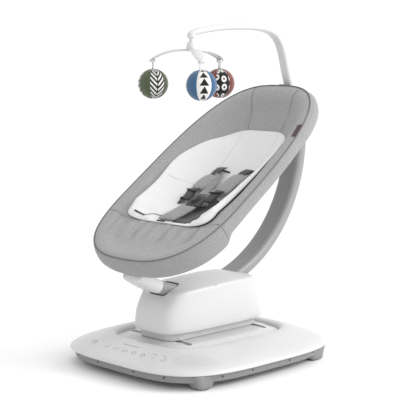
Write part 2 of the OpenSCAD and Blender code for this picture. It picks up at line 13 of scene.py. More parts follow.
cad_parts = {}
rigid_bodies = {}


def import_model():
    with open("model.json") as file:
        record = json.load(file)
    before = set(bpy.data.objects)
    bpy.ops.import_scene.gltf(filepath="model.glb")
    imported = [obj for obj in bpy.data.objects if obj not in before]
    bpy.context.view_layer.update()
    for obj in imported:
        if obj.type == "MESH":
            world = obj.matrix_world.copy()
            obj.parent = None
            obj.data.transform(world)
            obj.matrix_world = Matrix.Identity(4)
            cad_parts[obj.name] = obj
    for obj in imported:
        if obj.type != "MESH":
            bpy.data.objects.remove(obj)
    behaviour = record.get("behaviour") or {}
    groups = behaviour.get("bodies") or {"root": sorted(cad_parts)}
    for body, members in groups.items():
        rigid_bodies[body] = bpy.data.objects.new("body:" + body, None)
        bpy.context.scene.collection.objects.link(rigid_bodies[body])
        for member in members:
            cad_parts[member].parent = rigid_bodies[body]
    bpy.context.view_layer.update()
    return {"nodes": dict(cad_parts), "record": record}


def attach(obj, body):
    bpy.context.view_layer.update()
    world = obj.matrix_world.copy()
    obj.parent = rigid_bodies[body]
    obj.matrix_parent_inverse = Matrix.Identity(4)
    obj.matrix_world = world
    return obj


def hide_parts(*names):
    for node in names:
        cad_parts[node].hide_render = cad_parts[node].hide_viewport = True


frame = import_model()

MM = 0.001
TAU = 2 * math.pi

# ---- driving dimensions, in millimetres, as in the frame ----
BASE_HW = 241
BASE_HL = 267
BASE_LONGER = BASE_HL - BASE_HW
BASE_SQUARE = 3.6
FOOT_X = 192
FOOT_Y = 180
ARC_R = 340
ARC_Y = -9.5
ARC_Z = 503.4
TUBE_FRONT = -34.5
TUBE_JOINT = -22.5
FRONT_LIP = -12
REAR_LIP = 20
KNOB_X = -20
KNOB_Z = 152
TUBE_REAR = 107.5
TILT = math.radians(35.7)
SEAT_Y = 21.5
SEAT_Z = 442
SEAT_HW = 188
SEAT_MID = -85
SEAT_FOOT = 227
SEAT_HEAD = 397
SEAT_DEPTH = 104
SLING_MID = -20
SIDE_SEAM_U = -168
BUCKLE_X = -2
BUCKLE_U = -66
HUB_Y = -23
HANG_Z = 684
BALL_Z = 634
BALL_R = 34.5
BALL_ORBIT = 90


# ---- small maths ----

def spow(value, power):
    return math.copysign(abs(value) ** power, value)


def smooth(edge0, edge1, value):
    """0 below edge0, 1 above edge1, and a smooth step between them."""
    t = min(1, max(0, (value - edge0) / (edge1 - edge0)))
    return t * t * (3 - 2 * t)


def curve_through(knots):
    """A smooth function through (place, value) knots, level past both ends."""
    xs = [k[0] for k in knots]
    ys = [k[1] for k in knots]
    count = len(xs)
    slopes = [0.0] * count
    for i in range(1, count - 1):
        left = (ys[i] - ys[i - 1]) / (xs[i] - xs[i - 1])
        right = (ys[i + 1] - ys[i]) / (xs[i + 1] - xs[i])
        slopes[i] = 0 if left * right <= 0 else 2 * left * right / (left + right)

    def value(x):
        if x <= xs[0]:
            return ys[0]
        if x >= xs[-1]:
            return ys[-1]
        i = max(k for k in range(count - 1) if xs[k] <= x)
        h = xs[i + 1] - xs[i]
        t = (x - xs[i]) / h
        return ((2 * t ** 3 - 3 * t ** 2 + 1) * ys[i] + (t ** 3 - 2 * t ** 2 + t) * h * slopes[i]
                + (3 * t ** 2 - 2 * t ** 3) * ys[i + 1] + (t ** 3 - t ** 2) * h * slopes[i + 1])

    return value


def squircle(a, b, square, count):
    """Points of a closed outline whose sides bulge and whose corners are round, evenly spaced."""
    dense = []
    for i in range(count * 8):
        t = TAU * i / (count * 8)
        dense.append((a * spow(math.cos(t), 2 / square), b * spow(math.sin(t), 2 / square)))
    return even_points(dense, count)


def even_points(loop, count):
    """The same closed loop with its points an equal distance apart."""
    pts = np.array(list(loop) + [loop[0]], float)
    run = np.concatenate([[0], np.cumsum(np.linalg.norm(np.diff(pts, axis=0), axis=1))])
    want = np.linspace(0, run[-1], count, endpoint=False)
    return [tuple(np.interp(w, run, pts[:, k]) for k in range(pts.shape[1])) for w in want]


def bezier(a, b, c, d, t):
    s = 1 - t
    return [s ** 3 * p + 3 * s * s * t * q + 3 * s * t * t * r + t ** 3 * w for p, q, r, w in zip(a, b, c, d)]


def ripple(x, y, scale, seed=0.0):
    """Soft noise from -1 to 1 over a surface, with features about scale millimetres across."""
    return noise.noise(Vector((x / scale, y / scale, seed)))


# ---- meshes ----

def new_mesh(name, verts_mm, faces, sharp=None):
    """A mesh object from millimetre points. Edges that turn more than sharp degrees stay crisp."""
    mesh = bpy.data.meshes.new(name)
    mesh.from_pydata([[c * MM for c in v] for v in verts_mm], [], faces)
    obj = bpy.data.objects.new(name, mesh)
    bpy.context.scene.collection.objects.link(obj)
    tidy_mesh(obj, sharp)
    return obj


def tidy_mesh(obj, sharp=None):
    """Merges doubled points, turns the faces outwards and shades them smooth."""
    bm = bmesh.new()
    bm.from_mesh(obj.data)
    bmesh.ops.remove_doubles(bm, verts=bm.verts, dist=1e-6)
    bmesh.ops.recalc_face_normals(bm, faces=bm.faces)
    for face in bm.faces:
        face.smooth = True
    if sharp is not None:
        limit = math.radians(sharp)
        for edge in bm.edges:
            if len(edge.link_faces) == 2 and edge.calc_face_angle(0) > limit:
                edge.smooth = False
    bm.to_mesh(obj.data)
    bm.free()


def loft(name, rings, closed=False, caps=True, sharp=None):
    """A skin through rings of equal length. closed joins the last ring to the first."""
    count = len(rings[0])
    verts = [p for ring in rings for p in ring]
    faces = []
    spans = len(rings) if closed else len(rings) - 1
    for i in range(spans):
        k = (i + 1) % len(rings)
        for j in range(count):
            n = (j + 1) % count
            faces.append((i * count + j, i * count + n, k * count + n, k * count + j))
    if caps and not closed:
        for ring in (0, len(rings) - 1):
            centre = np.mean(np.array(rings[ring], float), axis=0)
            verts.append(tuple(centre))
            hub = len(verts) - 1
            for j in range(count):
                faces.append((ring * count + j, ring * count + (j + 1) % count, hub))
    return new_mesh(name, verts, faces, sharp)


def sweep(name, path, section, side=(1, 0, 0), sharp=None, closed=False):
    """Moves a section (across, up) along a path of points. side is the direction that stays across."""
    rings = []
    count = len(path)
    for i, point in enumerate(path):
        before = Vector(path[(i - 1) % count if closed else max(i - 1, 0)])
        after = Vector(path[(i + 1) % count if closed else min(i + 1, count - 1)])
        along = (after - before).normalized()
        across = Vector(side(i) if callable(side) else side)
        across = (across - along * across.dot(along)).normalized()
        up = along.cross(across)
        rings.append([tuple(Vector(point) + across * a + up * b) for a, b in section])
    return loft(name, rings, closed=closed, sharp=sharp)


def circle(radius, count):
    """A round outline as a list of (across, up) points."""
    angles = [TAU * i / count for i in range(count)]
    return [(radius * math.cos(a), radius * math.sin(a)) for a in angles]


def round_bar(width, height, radius, per_corner=6):
    """A rounded rectangle as a list of (across, up) points."""
    pts = []
    for k, (sx, sy) in enumerate(((1, 1), (-1, 1), (-1, -1), (1, -1))):
        for i in range(per_corner + 1):
            a = math.radians(90 * (k + i / per_corner))
            pts.append((sx * (width / 2 - radius) + radius * math.cos(a),
                        sy * (height / 2 - radius) + radius * math.sin(a)))
    return pts


def apply_modifiers(obj):
    bpy.context.view_layer.update()
    depsgraph = bpy.context.evaluated_depsgraph_get()
    mesh = bpy.data.meshes.new_from_object(obj.evaluated_get(depsgraph))
    obj.modifiers.clear()
    old = obj.data
    obj.data = mesh
    if old.users == 0:
        bpy.data.meshes.remove(old)


def cut(obj, tool, sharp=30):
    """Takes the tool's solid out of obj and removes the tool."""
    mod = obj.modifiers.new("cut", "BOOLEAN")
    mod.operation = "DIFFERENCE"
    mod.solver = "EXACT"
    mod.object = tool
    apply_modifiers(obj)
    bpy.data.objects.remove(tool)
    tidy_mesh(obj, sharp)


def subdivide(obj):
    mod = obj.modifiers.new("subdivide", "SUBSURF")
    mod.levels = 1
    mod.render_levels = 1
    apply_modifiers(obj)
    for poly in obj.data.polygons:
        poly.use_smooth = True


def join(name, parts):
    """Makes one object of several, keeping their materials."""
    for obj in bpy.context.view_layer.objects:
        obj.select_set(False)
    for obj in parts:
        obj.select_set(True)
    bpy.context.view_layer.objects.active = parts[0]
    bpy.ops.object.join()
    parts[0].name = name
    parts[0].data.name = name
    return parts[0]


def dress(obj, material, body, replaces=()):
    """Gives a piece its material, and says which body it rides on and what it stands for."""
    obj.data.materials.clear()
    obj.data.materials.append(material)
    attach(obj, body)
    if replaces:
        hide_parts(*replaces)
    return obj


# ---- materials: nodes in object space at real scale; only the balls' prints use UVs ----

def start_material(name, rough, **sockets):
    """A new material with its node tree and its shader. sockets set the shader's own values."""
    mat = bpy.data.materials.new(name)
    mat.use_nodes = True
    tree = mat.node_tree
    shader = tree.nodes["Principled BSDF"]
    shader.inputs["Roughness"].default_value = rough
    for socket, value in sockets.items():
        shader.inputs[socket.replace("_", " ")].default_value = value
    return mat, tree, shader


def add(tree, kind, inputs=None, **settings):
    """One shader node. inputs holds numbers, colours or other nodes' outputs, by name or place."""
    made = tree.nodes.new("ShaderNode" + kind)
    for key, value in settings.items():
        setattr(made, key, value)
    for key, value in (inputs or {}).items():
        if isinstance(value, bpy.types.NodeSocket):
            tree.links.new(value, made.inputs[key])
        else:
            made.inputs[key].default_value = value
    return made


def place(tree, turn_x=0.0, stretch=(1, 1, 1)):
    """Object coordinates in metres, turned into the seat's slope when asked."""
    where = add(tree, "TexCoord").outputs["Object"]
    turned = add(tree, "Mapping", {"Vector": where, "Rotation": (-turn_x, 0, 0)}).outputs[0]
    return add(tree, "Mapping", {"Vector": turned, "Scale": stretch}).outputs[0]


def grain(tree, where, size_mm, detail=2.0, rough=0.5):
    """Noise from 0 to 1 with features about size_mm across."""
    return add(tree, "TexNoise", {"Vector": where, "Scale": 1000 / size_mm, "Detail": detail,
                                  "Roughness": rough}).outputs["Fac"]


def spread(tree, value, low, high, start=0.3, end=0.7):
    return add(tree, "MapRange", {"Value": value, "From Min": start, "From Max": end, "To Min": low,
                                  "To Max": high}).outputs[0]


def blend_colours(tree, factor, first, second):
    mix = add(tree, "Mix", {"Factor": factor}, data_type="RGBA")
    for socket, colour in ((mix.inputs[6], first), (mix.inputs[7], second)):
        if isinstance(colour, bpy.types.NodeSocket):
            tree.links.new(colour, socket)
        else:
            socket.default_value = (*colour, 1)
    return mix.outputs[2]


def maths(tree, operation, a, b=0.0):
    return add(tree, "Math", {0: a, 1: b}, operation=operation).outputs[0]


def bumped(tree, shader, height, depth_mm, strength=1.0):
    made = add(tree, "Bump", {"Height": height, "Distance": depth_mm * MM, "Strength": strength})
    tree.links.new(made.outputs[0], shader.inputs["Normal"])


def shade(colour, factor):
    return tuple(c * factor for c in colour)


def moulded(name, colour, rough, grain_mm=0.5, depth_mm=0.02, tint=0.05, **sockets):
    """Moulded plastic: faint cloudiness in colour and gloss, and a fine moulded grain."""
    mat, tree, shader = start_material(name, rough, **sockets)
    where = place(tree)
    cloud = grain(tree, where, 60, 3)
    colours = blend_colours(tree, cloud, shade(colour, 1 - tint), colour)
    tree.links.new(colours, shader.inputs["Base Color"])
    tree.links.new(spread(tree, grain(tree, where, 9, 4), rough * 0.85, rough * 1.2),
                   shader.inputs["Roughness"])
    if depth_mm:
        bumped(tree, shader, grain(tree, where, grain_mm, 3), depth_mm)
    return mat


def metal(name, colour, rough, brush, tint=0.08, metallic=1.0):
    """Metal with fine brush lines along its least stretched axis."""
    mat, tree, shader = start_material(name, rough, Metallic=metallic)
    lines = grain(tree, place(tree, stretch=brush), 1.2, 4)
    tree.links.new(blend_colours(tree, lines, shade(colour, 1 - tint), colour),
                   shader.inputs["Base Color"])
    tree.links.new(spread(tree, lines, rough * 0.8, rough * 1.3), shader.inputs["Roughness"])
    bumped(tree, shader, lines, 0.01)
    return mat


def wave_scale(pitch_mm):
    """The wave texture's scale for ribs pitch_mm apart."""
    return TAU / 20 / (pitch_mm * MM)


def threads(tree):
    """Height of a plain weave: two sets of ribs that pass over and under each other."""
    scale = wave_scale(1.1)
    where = place(tree, TILT)
    ribs = [add(tree, "TexWave", {"Vector": where, "Scale": scale, "Distortion": 0.6, "Detail": 1.0,
                                  "Detail Scale": 2.0}, bands_direction=axis).outputs["Fac"]
            for axis in ("X", "Y", "Z")]
    return maths(tree, "MAXIMUM", maths(tree, "MULTIPLY", ribs[0], ribs[1]),
                 maths(tree, "MULTIPLY", ribs[2], ribs[1]))


def woven(name, dark, light):
    """Heathered cloth: short dark and light fibres over a plain weave."""
    mat, tree, shader = start_material(name, 0.9, Sheen_Weight=0.25, Sheen_Roughness=0.4,
                                       Specular_IOR_Level=0.2)
    across = grain(tree, place(tree, TILT, (1, 0.25, 1)), 1.4, 5, 0.7)
    along = grain(tree, place(tree, TILT, (0.25, 1, 1)), 1.4, 5, 0.7)
    fibres = spread(tree, maths(tree, "ADD", across, along), 0, 1, 0.8, 1.2)
    flecks = spread(tree, grain(tree, place(tree, TILT), 4.5, 4, 0.75), 0.12, 0.88, 0.35, 0.65)
    worn = spread(tree, grain(tree, place(tree), 90, 3), 0.35, 0.65)
    colour = blend_colours(tree, fibres, dark, light)
    speckled = blend_colours(tree, flecks, shade(dark, 1.05), colour)
    even = blend_colours(tree, 0.45, speckled, colour)
    tree.links.new(blend_colours(tree, maths(tree, "MULTIPLY", worn, 0.12), even, shade(dark, 0.8)),
                   shader.inputs["Base Color"])
    height = maths(tree, "ADD", threads(tree), maths(tree, "MULTIPLY", across, 0.5))
    bumped(tree, shader, height, 0.25, 0.8)
    return mat


def air_mesh(name, colour):
    """Soft spacer knit: small round cells under a smooth face, with painted shade in the cells' pits."""
    cell_mm = 2.4
    mat, tree, shader = start_material(name, 0.85, Sheen_Weight=0.3, Sheen_Roughness=0.5,
                                       Specular_IOR_Level=0.2)
    where = place(tree, TILT)
    cells = add(tree, "TexVoronoi", {"Vector": where, "Scale": 1000 / cell_mm, "Randomness": 0.35})
    pits = spread(tree, cells.outputs["Distance"], 0, 1, 0.0, 0.55)
    cloud = grain(tree, where, 40, 3)
    # The pits are painted a little darker: painted shade in the recesses.
    pit_shaded = blend_colours(tree, maths(tree, "MULTIPLY", pits, 0.5), shade(colour, 0.9), colour)
    tree.links.new(blend_colours(tree, maths(tree, "MULTIPLY", cloud, 0.15), pit_shaded, shade(colour, 0.85)),
                   shader.inputs["Base Color"])
    bumped(tree, shader, pits, 0.45, 0.7)
    return mat


def ribbed(name, colour):
    """Harness webbing: raised ribs across the strap and a faint sheen, with painted highlight on the rib
    crests and painted shade in the grooves.
    """
    mat, tree, shader = start_material(name, 0.75, Sheen_Weight=0.3, Specular_IOR_Level=0.3)
    where = place(tree, TILT)
    ribs = add(tree, "TexWave", {"Vector": where, "Scale": wave_scale(1.6), "Distortion": 0.3},
               bands_direction="Y").outputs["Fac"]
    fuzz = grain(tree, where, 0.8, 3)
    # Colour follows the rib relief: painted highlight on the crests and painted shade in the grooves, mixed
    # with random fuzz.
    tree.links.new(blend_colours(tree, maths(tree, "MULTIPLY", ribs, fuzz), shade(colour, 0.6),
                                 shade(colour, 1.5)), shader.inputs["Base Color"])
    bumped(tree, shader, maths(tree, "ADD", ribs, maths(tree, "MULTIPLY", fuzz, 0.4)), 0.3)
    return mat


def hide(name, colour):
    """Leather: pebbled grain with creases and darker hollows."""
    mat, tree, shader = start_material(name, 0.5, Specular_IOR_Level=0.4)
    where = place(tree)
    cells = add(tree, "TexVoronoi", {"Vector": where, "Scale": 900.0}, feature="DISTANCE_TO_EDGE")
    creases = spread(tree, cells.outputs["Distance"], 0, 1, 0, 0.18)
    cloud = grain(tree, where, 8, 4)
    tree.links.new(blend_colours(tree, maths(tree, "MULTIPLY", creases, cloud), shade(colour, 0.65),
                                 shade(colour, 1.25)), shader.inputs["Base Color"])
    bumped(tree, shader, creases, 0.12)
    return mat


def felt(name, colour):
    """Short-pile cloth of the hanging balls."""
    mat, tree, shader = start_material(name, 0.95, Sheen_Weight=0.4, Specular_IOR_Level=0.15)
    where = place(tree)
    pile = grain(tree, where, 1.2, 6, 0.8)
    cloud = grain(tree, where, 14, 3)
    base = blend_colours(tree, spread(tree, pile, 0, 1), shade(colour, 0.7), shade(colour, 1.25))
    tree.links.new(blend_colours(tree, maths(tree, "MULTIPLY", cloud, 0.25), base, shade(colour, 0.6)),
                   shader.inputs["Base Color"])
    bumped(tree, shader, pile, 0.35)
    return mat


INK = (0.012, 0.012, 0.014)
CHALK = (0.82, 0.81, 0.78)


def printed(name, motif):
    """Black and white print on the balls' panels, drawn on each panel's own UV square."""
    mat, tree, shader = start_material(name, 0.9, Sheen_Weight=0.3, Specular_IOR_Level=0.15)
    uv = add(tree, "SeparateXYZ", {0: add(tree, "TexCoord").outputs["UV"]})
    across, along = uv.outputs[0], uv.outputs[1]
    middle = maths(tree, "ABSOLUTE", maths(tree, "SUBTRACT", across, 0.5))
    if motif == "chevrons":
        rows = maths(tree, "FRACT", maths(tree, "SUBTRACT", maths(tree, "MULTIPLY", along, 9.0),
                                          maths(tree, "MULTIPLY", middle, 3.2)))
        mask = maths(tree, "LESS_THAN", rows, 0.5)
        mask = maths(tree, "MULTIPLY", mask, maths(tree, "GREATER_THAN", middle, 0.035))
    elif motif == "triangles":
        row = maths(tree, "FRACT", maths(tree, "MULTIPLY", along, 6.0))
        reach = maths(tree, "SUBTRACT", 0.62, maths(tree, "MULTIPLY", middle, 2.0))
        mask = maths(tree, "LESS_THAN", maths(tree, "MULTIPLY", reach, 1.5), row)
    else:
        grid = add(tree, "CombineXYZ", {0: maths(tree, "MULTIPLY", across, 2.0),
                                        1: maths(tree, "MULTIPLY", along, 5.0)}).outputs[0]
        dots = add(tree, "TexVoronoi", {"Vector": grid, "Scale": 1.0, "Randomness": 0.25},
                   voronoi_dimensions="2D").outputs["Distance"]
        ring = maths(tree, "LESS_THAN", dots, 0.36)
        mask = maths(tree, "MULTIPLY", ring, maths(tree, "GREATER_THAN", dots, 0.13))
    pile = grain(tree, place(tree), 1.2, 4)
    ink = blend_colours(tree, pile, shade(INK, 0.7), shade(INK, 1.8))
    chalk = blend_colours(tree, pile, shade(CHALK, 0.85), CHALK)
    tree.links.new(blend_colours(tree, mask, ink, chalk), shader.inputs["Base Color"])
    bumped(tree, shader, pile, 0.2)
    return mat


SHELL_WHITE = (0.64, 0.64, 0.636)
HEATHER = (0.42, 0.42, 0.423)
MATS = {
    "white_shell": moulded("white_shell", SHELL_WHITE, 0.32, 0.9, 0, 0.012, Coat_Weight=0.1),
    "grey_plastic": moulded("grey_plastic", (0.27, 0.27, 0.273), 0.5, 0.8, 0.05, 0.1),
    "dark_plastic": moulded("dark_plastic", (0.05, 0.05, 0.053), 0.42, 0.7, 0.05, 0.2),
    "black_plastic": moulded("black_plastic", (0.028, 0.028, 0.03), 0.38, 0.7, 0.05, 0.25),
    "rubber": moulded("rubber", (0.03, 0.03, 0.03), 0.75, 0.6, 0.12, 0.3),
    "nylon": moulded("nylon", (0.75, 0.73, 0.66), 0.45, 0.9, 0.03, 0.08, Subsurface_Weight=0.1,
                     Subsurface_Radius=(0.002, 0.002, 0.001)),
    "circuit_board": moulded("circuit_board", (0.02, 0.12, 0.05), 0.35, 0.5, 0.04, 0.5),
    "print_grey": moulded("print_grey", (0.3, 0.3, 0.31), 0.5, 0.6, 0.01, 0.1),
    "white_sleeve": moulded("white_sleeve", (0.66, 0.66, 0.657), 0.3, 1.0, 0, 0.01, Coat_Weight=0.15),
    "arc_finish": metal("arc_finish", (0.3, 0.3, 0.304), 0.42, (1, 0.2, 0.2), 0.04, 0.15),
    "steel": metal("steel", (0.62, 0.62, 0.63), 0.25, (0.1, 1, 1)),
    "frame_metal": metal("frame_metal", (0.12, 0.12, 0.13), 0.5, (1, 1, 1), 0.2, 0.3),
    "motor_can": metal("motor_can", (0.1, 0.1, 0.105), 0.35, (1, 0.1, 1), 0.2, 0.8),
    "brass": metal("brass", (0.72, 0.5, 0.2), 0.3, (1, 1, 0.2)),
    "grey_fabric": woven("grey_fabric", shade(HEATHER, 0.74), shade(HEATHER, 1.2)),
    "band_fabric": woven("band_fabric", shade(HEATHER, 0.61), shade(HEATHER, 1.0)),
    "pad_fabric": woven("pad_fabric", shade(HEATHER, 0.7), shade(HEATHER, 1.1)),
    "dark_fabric": woven("dark_fabric", (0.06, 0.06, 0.062), (0.115, 0.115, 0.118)),
    "white_fabric": air_mesh("white_fabric", (0.87, 0.87, 0.866)),
    "webbing": ribbed("webbing", (0.035, 0.035, 0.037)),
    "stitching": moulded("stitching", (0.19, 0.19, 0.192), 0.9, 0.5, 0.1, 0.3),
    "white_stitching": moulded("white_stitching", (0.62, 0.62, 0.61), 0.9, 0.5, 0.1, 0.2),
    "tag_leather": hide("tag_leather", (0.085, 0.05, 0.044)),
    "ball_green": felt("ball_green", (0.085, 0.105, 0.06)),
    "ball_blue": felt("ball_blue", (0.05, 0.125, 0.245)),
    "ball_red": felt("ball_red", (0.2, 0.06, 0.052)),
    "print_chevrons": printed("print_chevrons", "chevrons"),
    "print_triangles": printed("print_triangles", "triangles"),
    "print_rings": printed("print_rings", "rings"),
}
SLOT_MATERIAL = {
    "ball_green_fabric": "ball_green", "ball_blue_fabric": "ball_blue", "ball_red_fabric": "ball_red",
}


def dress_cad_nodes():
    """Every carried-over CAD node gets the node-based material of its slot."""
    slots = {s["node"]: s["material_slot"] for s in frame["record"]["subparts"]}
    for name, obj in frame["nodes"].items():
        material = MATS[SLOT_MATERIAL.get(slots[name], slots[name])]
        obj.data.materials.clear()
        obj.data.materials.append(material)


# ---- camera, light and floor ----

ROOM_LIGHT = 1.05


def make_camera():
    data = bpy.data.cameras.new("camera")
    data.lens = 107.32
    data.sensor_width = 36
    camera = bpy.data.objects.new("camera", data)
    camera.location = (2.0202, -1.9625, 0.7193)
    camera.rotation_euler = (math.radians(82.55), 0, math.radians(45.4))
    bpy.context.scene.collection.objects.link(camera)
    bpy.context.scene.camera = camera


def area_light(name, place_at, target, size, power):
    data = bpy.data.lights.new(name, "AREA")
    data.shape = "RECTANGLE"
    data.size, data.size_y = size
    data.energy = power
    light = bpy.data.objects.new(name, data)
    light.location = place_at
    aim = Vector(target) - Vector(place_at)
    light.rotation_euler = aim.to_track_quat("-Z", "Y").to_euler()
    bpy.context.scene.collection.objects.link(light)


def make_studio():
    """A white room, a little brighter from the screen's right, and one soft key light."""
    world = bpy.data.worlds.new("studio")
    world.use_nodes = True
    tree = world.node_tree
    room = tree.nodes["Background"]
    room.inputs["Color"].default_value = (1, 1, 1, 1)
    axes = add(tree, "SeparateXYZ", {0: add(tree, "TexCoord").outputs["Generated"]})
    right = maths(tree, "MULTIPLY", maths(tree, "MAXIMUM", axes.outputs[0], 0.0), 0.35)
    front = maths(tree, "MULTIPLY", maths(tree, "MINIMUM", axes.outputs[1], 0.0), 0.35)
    level = maths(tree, "ADD", maths(tree, "ADD", right, front), ROOM_LIGHT)
    tree.links.new(level, room.inputs["Strength"])
    bpy.context.scene.world = world
    bpy.context.scene.view_settings.view_transform = "Standard"
    area_light("key", (2.2, 1.5, 1.9), (0, 0, 0.35), (1.6, 1.6), 45)


def make_floor():
    size = 9.0
    mesh = bpy.data.meshes.new("floor")
    mesh.from_pydata([(-size, -size, 0), (size, -size, 0), (size, size, 0), (-size, size, 0)],
                     [], [(0, 1, 2, 3)])
    floor = bpy.data.objects.new("floor", mesh)
    bpy.context.scene.collection.objects.link(floor)
    mesh.materials.append(moulded("floor", (0.96, 0.96, 0.96), 0.8, 4, 0.01, 0.005))


# ---- base ----

def base_profile():
    """(half width, half length, squareness, height) down the cover's section, from its rim to its well."""
    rim = ((240, 34), (241, 35), (240.8, 36.8), (239.4, 39.2), (236, 42.4), (231, 45.6))
    outer = [(wide, wide + BASE_LONGER, BASE_SQUARE, z) for wide, z in rim]
    dome = [dome_row(t / 14) for t in range(15)]
    lip = [(162, 196, 4.0, 68.6), (155, 190, 4.2, 69.6), (149, 185, 4.3, 70), (144, 181, 4.4, 69.6),
           (139.5, 177, 4.6, 68), (136, 174, 4.7, 65.5), (134, 172.2, 4.8, 62), (133.6, 171.8, 4.8, 58)]
    inner = [(136.5, 174.6, 4.8, 57.5), (138, 176, 4.7, 63), (150, 186, 4.3, 66.6), (170, 202, 3.9, 64.5),
             (202, 230, 3.7, 55), (229, 255, 3.6, 43.5), (236, 262, 3.6, 38.5), (237, 263, 3.6, 36),
             (236, 262, 3.6, 34)]
    return outer + dome + lip + inner


def level_ring(a, b, square, z):
    return [(x, y, z) for x, y in squircle(a, b, square, 160)]


def dome_row(t):
    """One level of the cover's dome, from t = 0 at its rim to 1 at its well."""
    return 224 - 54 * t, 250 - 48 * t, BASE_SQUARE, 48.8 + 18.7 * t ** 0.9


def base_height(x, y):
    """Height of the cover's outer face over a point of the base."""
    low, high = 0.0, 1.0
    for _ in range(24):
        t = (low + high) / 2
        half_x, half_y, square, z = dome_row(t)
        if abs(x / half_x) ** square + abs(y / half_y) ** square < 1:
            low = t
        else:
            high = t
    return dome_row(low)[3]


def make_base_cover():
    rings = [level_ring(*row) for row in base_profile()]
    cover = loft("base_cover_skin", rings, closed=True, sharp=50)
    dress(cover, MATS["white_shell"], "base", ["base_cover"])


def make_deck():
    """The well's floor, dished between the lip and the neck, with the posts' two slots cut through."""
    rows = [(40, 60, 4.8, 63), (126, 164, 4.8, 57), (133, 171.4, 4.8, 57), (133.2, 171.6, 4.8, 60),
            (130, 168.5, 4.8, 60.6), (124, 163, 4.7, 61.6), (116, 158, 4.6, 64.4), (108, 153, 4.5, 67.4),
            (100, 149, 4.4, 69), (80, 140, 4.3, 69.3), (45, 90, 4, 69.4), (15, 30, 4, 69.4)]
    deck = loft("recess_deck_skin", [level_ring(*row) for row in rows])
    for sy in (-1, 1):
        tool = loft("slot_tool", [[(x, y + sy * 120, z) for x, y in round_bar(198, 13.8, 6.8)]
                                  for z in (45, 80)])
        cut(deck, tool)
    dress(deck, MATS["white_shell"], "base", ["recess_deck"])


def make_tray():
    section = ((200, 14.2), (222, 14.2), (226.5, 15), (228.5, 17.5), (229, 22), (229, 34), (229, 42.8),
               (226, 42.8), (226, 20), (222, 17), (200, 17))
    rings = [level_ring(wide, wide + BASE_LONGER, BASE_SQUARE, z) for wide, z in section]
    wall = loft("base_tray_skin", rings, sharp=50)
    dress(wall, MATS["grey_plastic"], "base", ["base_tray"])
    plugs = []
    for x, y in ((229.2, -150), (229.2, -60), (229.2, 60), (229.2, 160),
                 (-150, -255.2), (-60, -255.2), (60, -255.2), (150, -255.2), (-229.2, 0), (0, 255.2)):
        plugs.append(small_disc("tray_plug", edge_point(x, y), 2.2, 1.0, 25))
    marks = join("tray_plugs", plugs)
    dress(marks, MATS["dark_plastic"], "base")


def edge_point(x, y):
    """The nearest point of the tray's wall in the same direction from the centre, and that direction."""
    wide, long, square = 229, 255, BASE_SQUARE
    reach = (abs(x / wide) ** square + abs(y / long) ** square) ** (1 / square)
    px, py = x / reach, y / reach
    out = Vector((spow(px / wide, square - 1) / wide, spow(py / long, square - 1) / long, 0)).normalized()
    return Vector((px, py, 0)), out


def small_disc(name, spot, radius, proud, z):
    """A short round plug that stands proud of a wall."""
    point, out = spot
    centre = Vector((point.x, point.y, z))
    side = out.cross(Vector((0, 0, 1))).normalized()
    up = side.cross(out)
    rings = [[tuple(centre + out * depth + side * p + up * q) for p, q in circle(r, 14)]
             for depth, r in ((-1.5, radius), (proud * 0.6, radius), (proud, radius * 0.75))]
    return loft(name, rings, sharp=40)


def make_feet():
    """Tapered corner feet, flush with the cover's rim, with rounded edges, and their rubber pads."""
    foot_rows = ((2.4, FOOT_X, FOOT_Y, 18, 8), (3.4, FOOT_X, FOOT_Y, 19, 9), (18, 188, 178.4, 25, 12),
                 (32.4, 184.4, 177, 30.6, 15.5), (33.9, 184, 177, 30, 15))
    pad_rows = ((10, 0.0), (14.5, 0.0), (15.8, 0.7), (16, 2.5), (12, 2.6))
    feet, pads = [], []
    for sx in (-1, 1):
        for sy in (-1, 1):
            rings = [[(sx * x + a, sy * y + b, z) for a, b in round_bar(2 * half, 2 * half, r)]
                     for z, x, y, half, r in foot_rows]
            feet.append(loft("foot", rings, sharp=50))
            rings = [[(sx * FOOT_X + p, sy * FOOT_Y + q, z) for p, q in circle(r, 40)] for r, z in pad_rows]
            pads.append(loft("pad", rings, sharp=60))
    dress(join("corner_feet_skin", feet), MATS["grey_plastic"], "base", ["corner_feet"])
    dress(join("foot_pads_skin", pads), MATS["rubber"], "base", ["foot_pads"])


def decal(name, outline):
    """A thin print laid on the cover: outline points follow the dome."""
    top = [(x, y, base_height(x, y) + 0.25) for x, y in outline]
    low = [(x, y, z - 1.2) for x, y, z in top]
    return loft(name, [low, top], sharp=30)


def ring_mark(x, y, radius, width, start, end):
    """A thin printed arc that follows the dome."""
    count = 20
    angles = [math.radians(start + (end - start) * i / count) for i in range(count + 1)]
    spots = [(x + radius * math.cos(a), y + radius * math.sin(a)) for a in angles]
    path = [(px, py, base_height(px, py) + 0.1) for px, py in spots]
    return sweep("arc", path, round_bar(width, 0.6, 0.25, 2),
                 side=lambda i: (math.cos(angles[i]), math.sin(angles[i]), 0))


def bar_mark(x, y, length, width, turn=0.0):
    a = math.radians(turn)
    pts = round_bar(length, width, width * 0.49, 3)
    return [(x + p * math.cos(a) - q * math.sin(a), y + p * math.sin(a) + q * math.cos(a)) for p, q in pts]


